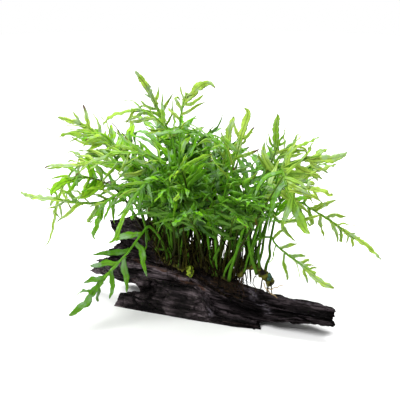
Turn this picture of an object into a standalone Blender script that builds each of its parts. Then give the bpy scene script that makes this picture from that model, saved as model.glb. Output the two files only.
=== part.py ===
"""African water fern on driftwood, for a planted aquarium.

Z is up. The driftwood rests on z = 0 and the origin is at the middle of its flat underside. The log
runs from the back left to the front right, and the fern's longest reach is along X. Every solid is a
separate named piece. Sizes are worked out in millimetres and become metres in add_piece.
"""
import math

import bpy
import numpy as np
from mathutils import Vector
from mathutils.bvhtree import BVHTree

# Driving dimensions, in millimetres and degrees
LOG_ANGLE = 27.0            # how far the log is turned from X in plan, right end forward
LOG_RINGS = 20              # cross sections along the log
SLAB_RINGS = 14             # cross sections along the front slab
BARK_ROUGHNESS = 0.55       # how far the worn wood departs from its smooth form
GAP = 0.35                  # clearance kept between any two solids
RHIZOME_RADIUS = 3.6        # creeping rhizome
STIPE_WIDTH = 1.9           # frond stalk where it leaves the rhizome
RACHIS_WIDTH = 1.1          # frond midrib at the last leaflets
PINNA_WIDTH = 5.2           # widest leaflet of a full-size frond
PINNA_THICKNESS = 0.7       # leaflet at its midrib
MAT_THICKNESS = 2.0         # crust of roots on the wood
MAT_LEFT, MAT_LENGTH = -24.0, 62.0      # where the crust starts along the log, and how long it is
MAT_FRONT, MAT_DEPTH = -13.5, 14.5      # its front edge across the log, and how deep it is
MAT_COLUMNS, MAT_ROWS = 10, 4           # patches of the crust along and across the log
ROOT_RADIUS = 0.55          # stout root that hangs free
ROOT_RINGS = 5              # cross sections along a root
TUBE_DOME = 0.5             # how far a bud's end stands out, as a share of its radius
BLADE_END = 0.84            # where the last leaflets leave the midrib, as a share of its length
CLEARANCE_STEP = 0.25       # how far a rhizome is moved at a time until it is clear of the wood
CLEARANCE_TRIES = 120       # the most such moves
FROND_TRIES = 150           # the most places tried for one frond
SEED = 41

# The log's length lines. Each has its own left and right end, then across (b) and height (z) at the
# stations below. b is positive to the back.
LOG_STATIONS = (-84, -66, -48, -30, -10, 10, 30, 50, 70, 92, 116)
LOG_LINES = (
    # front edge of the underside
    (-24, 116, (-5, -9, -12, -13, -13, -13, -12, -13, -12, -12, -9), (6, 3, 0, 0, 0, 0, 0, 0, 4.6, 9, 9.5)),
    # front, low, drawn in behind the slab and in the hollow
    (-27, 118, (-7, -12, -14, -14, -13, -12, -10, -11, -15, -15, -11), (12, 12, 12, 14, 16, 14, 10, 7, 8, 11, 11)),
    # lower edge of the strip that overhangs the slab, and the middle prong's tip
    (-88, 117, (3, -6, -15, -17, -16.6, -18, -18, -17, -17, -16, -12),
     (12, 15, 24, 27.6, 28.2, 27.6, 20, 15, 12.6, 13.2, 12.4)),
    # upper edge of the same strip
    (-74, 118, (-3, -11, -16.6, -17, -16.5, -18, -17.5, -16.5, -16, -15, -12),
     (20, 27, 33, 33, 30.4, 29, 21.4, 16.2, 13.8, 14.2, 13.6)),
    # bottom of the long crack
    (-65, 110, (-5, -7, -12, -12.5, -13, -15, -15.4, -14.6, -13.8, -13.2, -11),
     (30, 31, 36, 35, 32, 30, 22.6, 17.4, 15.2, 15.2, 14.6)),
    # upper edge of the crack
    (-68, 114, (-6, -9, -14, -14.5, -15, -16, -16, -15, -14.5, -14, -11),
     (34, 35, 39, 37.5, 34, 31.5, 24, 19, 17, 16.8, 15.6)),
    # middle of the upper front face
    (-54, 117, (-5, -6, -8.6, -9, -10.6, -11, -11, -10, -9.5, -9, -8),
     (42, 44, 48, 44.5, 38.5, 33.6, 25.2, 21, 20.2, 19.8, 17.4)),
    # front of the crest
    (-70, 114, (2, 2, 1, 1, -1, -3, -4, -4, -4, -3, -4), (50, 54, 59, 54.5, 43, 34.6, 26.4, 22, 21.4, 20.8, 18.4)),
    # back of the crest
    (-71, 112, (5, 7, 8, 8, 6, 5, 3, 3, 3, 3, 1), (49, 56, 60, 55.5, 43, 34, 25.4, 20.4, 19.8, 19.8, 18.2)),
    # back, high
    (-70, 113, (10, 13, 15, 15, 14, 12, 10, 9, 8, 7, 4), (42, 48, 50, 45, 35, 28, 20.6, 15.6, 15.4, 16.8, 15.6)),
    # back, middle
    (-75, 110, (14, 17, 20, 20, 20, 18, 15, 12, 10, 9, 5), (28, 31, 32, 29, 23, 18, 13, 9.4, 10.6, 13.2, 12.6)),
    # back, low
    (-74, 112, (10, 17, 22, 24, 23, 21, 18, 14, 10, 8, 4), (14, 15, 14, 12, 9, 7, 5, 4, 7, 10.8, 11)),
    # back edge of the underside
    (-56, 109, (6, 15, 20, 22, 21, 19, 16, 12, 7, 5, 2), (9, 7, 3, 0, 0, 0, 0, 0, 4.4, 9, 9.6)),
    # middle of the underside
    (-32, 108, (0, 3, 4, 4, 4, 3, 2, 0, -2, -4, -4), (3, 1.5, 0, 0, 0, 0, 0, 0, 4.2, 8.4, 9)),
)
# The slab that has split from the log's front, in the same form
SLAB_STATIONS = (-50, -40, -25, 0, 17, 22, 26, 32, 46, 64)
SLAB_LINES = (
    # outer foot
    (-48, 64, (-26, -26, -25.5, -24, -23.6, -23.2, -22.6, -22, -21, -17), (0, 0, 0, 0, 0, 0, 0, 0, 0, 0)),
    # outer face, low
    (-46, 66, (-27, -27, -26.5, -25.5, -25.2, -24.8, -23.8, -23, -22, -17.6), (2.5, 6, 8, 8, 8, 7, 5, 3, 2.6, 1.4)),
    # outer face, high, which ends at the notch
    (-29, 63, (-24.5, -24.5, -24, -23, -23, -22.6, -22.2, -22, -21.2, -17), (9, 13, 16, 17, 18, 16, 10, 6, 5, 2.5)),
    # outer side of the lip
    (-39, 61, (-22, -21.8, -21.6, -21.2, -21.2, -21, -20.8, -20.2, -19.8, -16.4), (16, 20, 24, 24.8, 26.2, 23, 14, 7.4, 6, 3)),
    # inner side of the lip
    (-36, 60, (-19.4, -19.4, -19.2, -18.8, -19.6, -19.2, -18, -17, -16.6, -15.4), (15, 19, 24.2, 25, 26, 22, 13, 7, 5.6, 3)),
    # inner face
    (-40, 61, (-17.4, -17.2, -16.8, -16, -15.8, -15.4, -15, -14.8, -15, -14.8), (6, 11, 14, 13, 12, 11, 8, 4.6, 3.6, 1.8)),
    # inner foot
    (-47, 62, (-15.4, -15.2, -15, -14.8, -14.8, -14.6, -14.6, -14.6, -14.4, -14.4), (0, 0, 0, 0, 0, 0, 0, 0, 0, 0)),
)

# Rhizomes as points along the log (a), across (b) and up (z); each is lifted clear of what is below it
RHIZOME_PATHS = {
    "rhizome_main": ((-31, -6, 46), (-20, -7, 42), (-6, -8, 38), (10, -8, 34), (24, -7, 30), (37, -5, 29)),
    "rhizome_right": ((41.5, -4, 33), (45, -4, 39.5), (52, -4, 41.5), (60, -4.5, 37.5), (67, -5, 31.5)),
    "rhizome_front": ((-12, -15, 37), (-4, -16, 36), (4, -16.5, 35)),
}
RHIZOME_SCALE = {"rhizome_main": 1.0, "rhizome_right": 0.8, "rhizome_front": 0.72}
RHIZOME_RINGS = {"rhizome_main": 10, "rhizome_right": 6, "rhizome_front": 6}
# The last place along each that a frond may leave it; the right one's growing end is bare
LAST_FROND = {"rhizome_main": 0.99, "rhizome_right": 0.80, "rhizome_front": 0.99}

# Growing tips: name, the rhizome that ends in it, greatest radius and length
BUDS = (("bud_front", "rhizome_front", 2.4, 8.0), ("bud_right", "rhizome_right", 1.5, 5.4))
# Their cross sections: share of the length, and share of the greatest radius
BUD_RINGS = ((0.0, 0.75), (0.36, 1.0), (0.72, 0.8), (1.0, 0.35))

# Roots that hang from the right rhizome, in the same coordinates
ROOT_PATHS = (
    ((48, -7.5, 37.5), (47, -11.5, 32), (49, -12.5, 28), (48, -12, 25)),
    ((56, -7.5, 36), (55, -10, 31), (58, -10, 27.5), (57, -9.5, 24.5)),
    ((65.5, -6, 27.3), (68, -8, 28), (73, -9.5, 31), (78.5, -11, 34)),
    ((63, -8.5, 32), (66, -11.5, 29.5), (70, -12, 27), (75, -12, 24.5)),
)

# Fronds whose course the picture shows. Columns: rhizome, place along it (0 to 1), side (degrees from
# the top, front negative), then lift, bend and tip in millimetres, leaflet pairs, longest leaflet,
# where the blade starts (0 to 1), and how far the blade turns to the front (0 to 1).
HERO_FRONDS = (
    # low on the left, across the wood
    ("rhizome_front", 0.10, -20, (-27, -26, 71), (-46, -46, 55), (-83, -54, 16), 5, 25, 0.30, 0.85),
    # left, arching to the front
    ("rhizome_front", 0.35, 5, (-18, -30, 109), (-34, -46, 104), (-56, -56, 71), 5, 19, 0.42, 0.70),
    ("rhizome_main", 0.10, -30, (-28, -6, 100), (-67, -16, 85), (-119, -15, 93), 5, 22, 0.42, 0.60),
    ("rhizome_main", 0.04, 20, (-47, 16, 109), (-86, 12, 99), (-106, 5, 45), 5, 17, 0.50, 0.60),
    ("rhizome_main", 0.16, 35, (-46, 24, 91), (-67, 24, 122), (-95, 18, 139), 4, 23, 0.50, 0.80),
    ("rhizome_main", 0.22, -55, (-28, -22, 110), (-62, -34, 121), (-99, -38, 117), 5, 24, 0.46, 0.60),
    ("rhizome_main", 0.30, -20, (-20, -28, 116), (-47, -44, 130), (-74, -50, 125), 4, 22, 0.50, 0.45),
    ("rhizome_main", 0.14, -60, (-39, -18, 92), (-60, -26, 86), (-66, -30, 64), 3, 15, 0.55, 0.75),
    # the top
    ("rhizome_main", 0.36, 25, (-10, 6, 118), (-34, 2, 148), (-61, -6, 140), 4, 20, 0.55, 0.60),
    ("rhizome_main", 0.27, 45, (-14, 12, 116), (-26, 12, 149), (-37, 8, 174), 4, 15, 0.56, 0.80),
    ("rhizome_main", 0.44, -5, (-8, 0, 127), (0, 0, 164), (17, 0, 164), 3, 15, 0.68, 0.80),
    ("rhizome_main", 0.74, -50, (34, -32, 104), (11, -44, 141), (-25, -50, 145), 4, 17, 0.62, 0.35),
    ("rhizome_main", 0.80, -15, (26, -26, 98), (33, -32, 130), (37, -34, 158), 4, 22, 0.50, 0.95),
    ("rhizome_main", 0.60, 15, (11, 0, 80), (12, 5, 108), (14, 10, 132), 4, 20, 0.50, 0.70),
    ("rhizome_main", 0.70, 10, (22, -4, 88), (25, -8, 118), (30, -8, 145), 4, 20, 0.48, 0.70),
    # the right
    ("rhizome_right", 0.11, 20, (50, -14, 94), (58, -12, 122), (61, -10, 148), 3, 17, 0.60, 0.80),
    ("rhizome_right", 0.20, 35, (54, 0, 92), (69, 8, 118), (93, 12, 126), 4, 20, 0.52, 0.60),
    ("rhizome_right", 0.28, -10, (58, -20, 96), (77, -22, 116), (109, -14, 122), 4, 28, 0.46, 0.80),
    ("rhizome_right", 0.34, 30, (60, -4, 88), (93, 4, 70), (138, 0, 37), 5, 17, 0.50, 0.75),
    ("rhizome_right", 0.05, -55, (47, -34, 77), (71, -41, 63), (101, -42, 31), 5, 16, 0.42, 0.75),
    ("rhizome_right", 0.16, -45, (56, -34, 107), (73, -48, 112), (82, -54, 76), 4, 29, 0.52, 0.85),
    ("rhizome_right", 0.50, -35, (58, -32, 94), (77, -40, 108), (99, -43, 102), 4, 23, 0.48, 0.65),
    ("rhizome_right", 0.43, 20, (62, 10, 84), (84, 24, 98), (107, 28, 99), 4, 22, 0.46, 0.55),
    ("rhizome_right", 0.36, -62, (52, -36, 82), (69, -46, 82), (88, -46, 86), 3, 16, 0.50, 0.70),
)
# The rest of the tuft. Columns: rhizome, place, side, heading in plan (degrees, 0 to the right and 90
# to the back), rise at the base, fall at the tip, length, leaflet pairs, longest leaflet, roll.
TUFT_FRONDS = (
    ("rhizome_main", 0.02, 40, 150, 72, 6, 108, 5, 24, 30),
    ("rhizome_main", 0.07, 65, 118, 76, 2, 116, 5, 25, -35),
    ("rhizome_main", 0.12, 5, 200, 62, -14, 100, 5, 25, 45),
    ("rhizome_main", 0.19, 10, 173, 78, 10, 120, 5, 26, -36),
    ("rhizome_main", 0.25, -30, 228, 70, -6, 84, 4, 24, 25),
    ("rhizome_main", 0.33, 60, 100, 74, 0, 120, 5, 26, -30),
    ("rhizome_main", 0.40, -45, 250, 74, -12, 100, 5, 26, 50),
    ("rhizome_main", 0.48, 40, 128, 82, 20, 116, 5, 26, 45),
    ("rhizome_main", 0.52, -30, 262, 80, 10, 106, 5, 26, -55),
    ("rhizome_main", 0.56, 65, 75, 74, -4, 112, 5, 26, 30),
    ("rhizome_main", 0.64, -50, 236, 72, -4, 84, 4, 24, -35),
    ("rhizome_main", 0.67, 45, 60, 82, 22, 108, 5, 25, 40),
    ("rhizome_main", 0.77, 30, 95, 74, -2, 112, 5, 26, -40),
    ("rhizome_main", 0.86, -20, 292, 76, -4, 100, 5, 25, 35),
    ("rhizome_main", 0.90, 25, 40, 78, 8, 108, 5, 25, -30),
    ("rhizome_main", 0.96, -40, 276, 75, 0, 84, 4, 23, 45),
    ("rhizome_main", 0.98, 60, 70, 76, 2, 108, 5, 25, -45),
    ("rhizome_main", 0.99, -60, 306, 73, -2, 88, 4, 24, 30),
    ("rhizome_right", 0.40, 60, 34, 70, -6, 104, 5, 25, 40),
    ("rhizome_main", 0.97, 10, 12, 74, 6, 92, 4, 22, -35),
    ("rhizome_front", 0.62, -35, 250, 76, -4, 88, 5, 24, -30),
    ("rhizome_front", 0.85, 15, 280, 82, 4, 104, 5, 25, 50),
)

LEAF_GREEN = (0.16, 0.42, 0.07)
LEAF_DEEP = (0.08, 0.27, 0.06)
WOOD_DARK = (0.035, 0.027, 0.027)
RHIZOME_BROWN = (0.17, 0.16, 0.05)
BUD_GREEN = (0.30, 0.48, 0.06)
BUD_DEEP = (0.06, 0.20, 0.09)
ROOT_BROWN = (0.10, 0.06, 0.035)
ROOT_PALE = (0.42, 0.30, 0.14)

ALONG = Vector((math.cos(math.radians(LOG_ANGLE)), -math.sin(math.radians(LOG_ANGLE)), 0.0))
ACROSS = Vector((math.sin(math.radians(LOG_ANGLE)), math.cos(math.radians(LOG_ANGLE)), 0.0))
UP = Vector((0.0, 0.0, 1.0))
TO_VIEWER = Vector((0.0, -0.951, 0.309))


def material(name, colour, roughness):
    """A plain material with its own base colour."""
    found = bpy.data.materials.new(name)
    found.use_nodes = True
    shader = found.node_tree.nodes["Principled BSDF"]
    shader.inputs["Base Color"].default_value = (*colour, 1.0)
    shader.inputs["Roughness"].default_value = roughness
    return found


def add_piece(name, points, faces, look):
    """One closed solid in its own object, from points in millimetres."""
    mesh = bpy.data.meshes.new(name)
    mesh.from_pydata([tuple(0.001 * value for value in point) for point in points], [], faces)
    mesh.materials.append(look)
    mesh.validate()
    mesh.update()
    piece = bpy.data.objects.new(name, mesh)
    bpy.context.scene.collection.objects.link(piece)
    return piece


def from_log(a, b, z):
    """A point given along the log, across it and up."""
    return ALONG * a + ACROSS * b + UP * z


def ripple(a, s, seed):
    """Smooth, repeatable unevenness between about -1 and 1 over length a and girth s."""
    return (0.45 * math.sin(0.21 * a + 1.7 * s + seed)
            + 0.33 * math.sin(0.47 * a - 2.9 * s + 2.3 * seed + 1.1)
            + 0.22 * math.sin(0.83 * a + 4.3 * s + 0.7 * seed + 4.0))


def line_point(line, stations, a):
    """Across and height of one length line at a."""
    return float(np.interp(a, stations, line[2])), float(np.interp(a, stations, line[3]))


def wood_ring(lines, stations, u, seed):
    """One cross section: a point on every line and one between each pair, at u from 0 to 1."""
    ends = []
    for line in lines:
        ends.append((line[0], line[1]))
    left = min(end[0] for end in ends)
    right = max(end[1] for end in ends)
    ring = []
    count = len(lines)
    for i in range(2 * count):
        first = lines[i // 2]
        second = lines[(i // 2 + (i % 2)) % count]
        here = []
        for line in (first, second):
            nominal = left + (right - left) * u
            start = (line[0] - left) * (1.0 - u) ** 3
            finish = (line[1] - right) * u ** 4
            a = nominal + start + finish
            b, z = line_point(line, stations, a)
            here.append((a, b, z))
        a = 0.5 * (here[0][0] + here[1][0])
        b = 0.5 * (here[0][1] + here[1][1])
        z = 0.5 * (here[0][2] + here[1][2])
        ring.append([a, b, z])
    middle_b = sum(point[1] for point in ring) / len(ring)
    middle_z = sum(point[2] for point in ring) / len(ring)
    for i, point in enumerate(ring):
        if point[2] < 0.2:
            point[2] = 0.0
            continue
        away = Vector((point[1] - middle_b, point[2] - middle_z))
        away.normalize()
        amount = BARK_ROUGHNESS * ripple(point[0], 2.0 * math.pi * i / len(ring), seed)
        point[1] += away.x * amount
        point[2] = max(0.0, point[2] + away.y * amount)
    return [from_log(*point) for point in reversed(ring)]


def loft(rings, left_tip, right_tip):
    """Closed skin over rings of equal size, each end fanned to its tip point."""
    count = len(rings[0])
    points = []
    for ring in rings:
        points.extend(ring)
    points.append(left_tip)
    points.append(right_tip)
    faces = []
    for j in range(len(rings) - 1):
        for i in range(count):
            k = (i + 1) % count
            low, high = j * count, (j + 1) * count
            faces.append((low + i, low + k, high + k))
            faces.append((low + i, high + k, high + i))
    last = (len(rings) - 1) * count
    for i in range(count):
        k = (i + 1) % count
        faces.append((k, i, len(points) - 2))
        faces.append((last + i, last + k, len(points) - 1))
    return points, faces


def wood_solid(lines, stations, rings, seed, left_depth, right_depth):
    """A worn length of wood, hollowed a little at both ends."""
    sections = []
    for j in range(rings):
        u = j / (rings - 1)
        sections.append(wood_ring(lines, stations, u, seed))
    left = sum(sections[0], Vector()) / len(sections[0]) + ALONG * left_depth
    right = sum(sections[-1], Vector()) / len(sections[-1]) - ALONG * right_depth
    return loft(sections, left, right)


def through(points, count):
    """Points evenly spaced along a smooth curve through the given points."""
    knots = [Vector(point) for point in points]
    before = knots[0] * 2 - knots[1]
    after = knots[-1] * 2 - knots[-2]
    padded = [before] + knots + [after]
    dense = []
    for i in range(1, len(padded) - 2):
        p0, p1, p2, p3 = padded[i - 1:i + 3]
        for j in range(24):
            t = j / 24.0
            dense.append(0.5 * (2 * p1 + (p2 - p0) * t + (2 * p0 - 5 * p1 + 4 * p2 - p3) * t * t
                                + (3 * p1 - p0 - 3 * p2 + p3) * t ** 3))
    dense.append(knots[-1])
    return spaced(dense, np.linspace(0.0, 1.0, count))


def spaced(dense, shares):
    """Points of a dense curve at the given shares of its length."""
    cloud = np.array([tuple(point) for point in dense])
    steps = np.linalg.norm(np.diff(cloud, axis=0), axis=1)
    run = np.concatenate(([0.0], np.cumsum(steps))) / steps.sum()
    return [Vector([float(np.interp(share, run, cloud[:, axis])) for axis in range(3)]) for share in shares]


def tangents(path):
    """Unit direction at each point of a path."""
    found = []
    for i in range(len(path)):
        step = path[min(i + 1, len(path) - 1)] - path[max(i - 1, 0)]
        found.append(step.normalized())
    return found


def tube(path, radii, sides, dome):
    """Closed round tube along a path, with a domed point at each end."""
    rings = []
    ahead = tangents(path)
    side = ahead[0].cross(UP)
    if side.length < 0.2:
        side = ahead[0].cross(ACROSS)
    for j, centre in enumerate(path):
        side = (side - ahead[j] * side.dot(ahead[j])).normalized()
        other = ahead[j].cross(side)
        ring = []
        for i in range(sides):
            turn = 2.0 * math.pi * i / sides
            ring.append(centre + (side * math.cos(turn) + other * math.sin(turn)) * radii[j])
        rings.append(ring)
    start = path[0] - ahead[0] * dome * radii[0]
    finish = path[-1] + ahead[-1] * dome * radii[-1]
    return loft(rings, start, finish)


class Surroundings:
    """Solids that are already placed, asked whether a new one would touch them."""

    def __init__(self):
        self.items = []

    def add(self, points, faces, owner=0):
        cloud = np.array([tuple(point) for point in points])
        tree = BVHTree.FromPolygons([Vector(point) for point in points], faces)
        self.items.append((cloud.min(axis=0), cloud.max(axis=0), tree, owner))

    def touches(self, points, faces, owner=-1):
        """Whether a solid meets any that is not of the same owner."""
        cloud = np.array([tuple(point) for point in points])
        low, high = cloud.min(axis=0), cloud.max(axis=0)
        mine = None
        for item_low, item_high, tree, other in self.items:
            if other == owner or np.any(item_low > high) or np.any(item_high < low):
                continue
            if mine is None:
                mine = BVHTree.FromPolygons([Vector(point) for point in points], faces)
            if mine.overlap(tree):
                return True
        return False

    def distance(self, point):
        """How far the nearest solid is, or below zero inside one."""
        nearest = 1000.0
        for _, _, tree, _ in self.items:
            hit, normal, _, reach = tree.find_nearest(point)
            if (point - hit).dot(normal) < 0.0:
                reach = -reach
            nearest = min(nearest, reach)
        return nearest


def lifted(path, radii, around, away):
    """The same path, each point moved along away until it clears what is placed."""
    clear = []
    for point, radius in zip(path, radii):
        place = point.copy()
        for _ in range(CLEARANCE_TRIES):
            if around.distance(place) >= radius + GAP + CLEARANCE_STEP:
                break
            place += away * CLEARANCE_STEP
        clear.append(place)
    return clear


def root_mat(around):
    """A lumpy crust of matted roots that follows the wood under the rhizomes."""
    wood = around.items[0][2]
    columns, rows = MAT_COLUMNS, MAT_ROWS
    top, under = [], []
    for i in range(columns + 1):
        for j in range(rows + 1):
            a = MAT_LEFT + MAT_LENGTH * i / columns + 1.5 * ripple(9.0 * j, i, 2.0)
            across = MAT_FRONT + MAT_DEPTH * j / rows + 0.8 * ripple(11.0 * i, j, 5.0)
            start = from_log(a, across, 90.0)
            hit, normal, _, _ = wood.ray_cast(start, -UP)
            edge = min(i, columns - i, j, rows - j)
            thick = (0.7, 1.5, 2.0)[min(edge, 2)] / 2.0 * MAT_THICKNESS
            thick *= 1.0 + 0.25 * ripple(7.0 * i, 1.3 * j, 8.0)
            lean = (normal + UP * 0.6).normalized()
            under.append(hit + normal * (GAP + 0.25))
            top.append(hit + normal * (GAP + 0.25) + lean * thick)
    count = (columns + 1) * (rows + 1)
    points = top + under
    faces = []
    for i in range(columns):
        for j in range(rows):
            p = i * (rows + 1) + j
            q = p + rows + 1
            faces.append((p, q, q + 1))
            faces.append((p, q + 1, p + 1))
            faces.append((count + p, count + q + 1, count + q))
            faces.append((count + p, count + p + 1, count + q + 1))
    rim = [i * (rows + 1) for i in range(columns + 1)]
    rim += [columns * (rows + 1) + j for j in range(1, rows + 1)]
    rim += [i * (rows + 1) + rows for i in range(columns - 1, -1, -1)]
    rim += [j for j in range(rows - 1, 0, -1)]
    for i, p in enumerate(rim):
        q = rim[(i + 1) % len(rim)]
        faces.append((q, p, count + p))
        faces.append((q, count + p, count + q))
    return points, faces


def base_point(rhizome, share, side_angle):
    """Where a stalk leaves a rhizome."""
    path, radii = rhizome
    place = share * (len(path) - 1)
    i = min(int(place), len(path) - 2)
    part = place - i
    centre = path[i].lerp(path[i + 1], part)
    radius = radii[i] * (1 - part) + radii[i + 1] * part
    ahead = (path[i + 1] - path[i]).normalized()
    across = UP.cross(ahead).normalized()
    top = ahead.cross(across)
    turn = math.radians(side_angle)
    out = top * math.cos(turn) + across * math.sin(turn)
    return centre + out * (radius + GAP + 0.15)


def frond_frame(path, roll, facing):
    """Side and face directions at each point of a frond's midrib."""
    ahead = tangents(path)
    reach = path[-1] - path[0]
    level = Vector((reach.x, reach.y, 0.0))
    if level.length < 8.0:
        level = Vector((0.3, -1.0, 0.0))
    plane = UP.cross(level.normalized())
    sides, faces = [], []
    for i, step in enumerate(ahead):
        side = (plane - step * plane.dot(step)).normalized()
        face = step.cross(side)
        if face.z < -0.2:
            face = -face
        turned = (face * (1.0 - facing) + TO_VIEWER * facing).normalized()
        turned = (turned - step * turned.dot(step)).normalized()
        angle = math.radians(roll * (0.4 + 0.6 * i / (len(ahead) - 1)))
        across = turned.cross(step).normalized()
        face = turned * math.cos(angle) + across * math.sin(angle)
        sides.append(face.cross(step).normalized())
        faces.append(face)
    return ahead, sides, faces


def rachis_ring(centre, side, face, wide, deep):
    """Four corners: left top, left under, right under, right top."""
    x, y = side * (0.5 * wide), face * (0.5 * deep)
    return [centre - x + y, centre - x - y, centre + x - y, centre + x + y]


def leaflet_points(root, ahead, out, face, length, width, swell):
    """Middle section (near edge, ridge, far edge) and tip of one leaflet."""
    run = out * length
    middle = root + run * 0.46 + face * (0.05 * length)
    tip = root + run * (1.0 + swell / length) - face * (0.13 * length) + ahead * (0.08 * length)
    edge = (ahead - out * ahead.dot(out)).normalized()
    x = edge * (0.5 * width + swell)
    y = face * (0.5 * PINNA_THICKNESS)
    rise = face * swell
    return [middle - x - y - rise, middle + y + rise, middle + x - y - rise], tip


def test_solid(near, middle, tip):
    """A closed stand-in for a leaflet, used only to ask whether it has room."""
    points = near + middle + [tip]
    faces = [(0, 1, 4), (2, 3, 6), (1, 5, 4), (1, 2, 5), (2, 6, 5), (0, 4, 3), (3, 4, 6),
             (4, 5, 7), (5, 6, 7), (6, 4, 7), (3, 2, 1), (3, 1, 0)]
    return points, faces


def leaflet_faces(rear_under, rear_top, front_top, front_under, rear, ridge, front, tip):
    """Skin of one leaflet from its four root corners to its tip."""
    return [(rear_under, rear_top, rear), (front_top, front_under, front), (rear_top, ridge, rear),
            (rear_top, front_top, ridge), (front_top, front, ridge), (rear_under, rear, front_under),
            (front_under, rear, front), (rear, ridge, tip), (ridge, front, tip), (front, rear, tip)]


LEAFLET_TRIES = ((0, 0, 1.0), (9, 8, 1.0), (-9, 8, 1.0), (0, -16, 1.0), (0, 20, 1.0), (12, -22, 0.95),
                 (-12, 24, 0.95), (0, 36, 0.9), (0, -36, 0.9), (14, 0, 0.75), (-14, 0, 0.75),
                 (8, 30, 0.7), (8, -30, 0.7), (0, 0, 0.6), (10, 20, 0.5), (10, -20, 0.5), (0, 0, 0.42))


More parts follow.
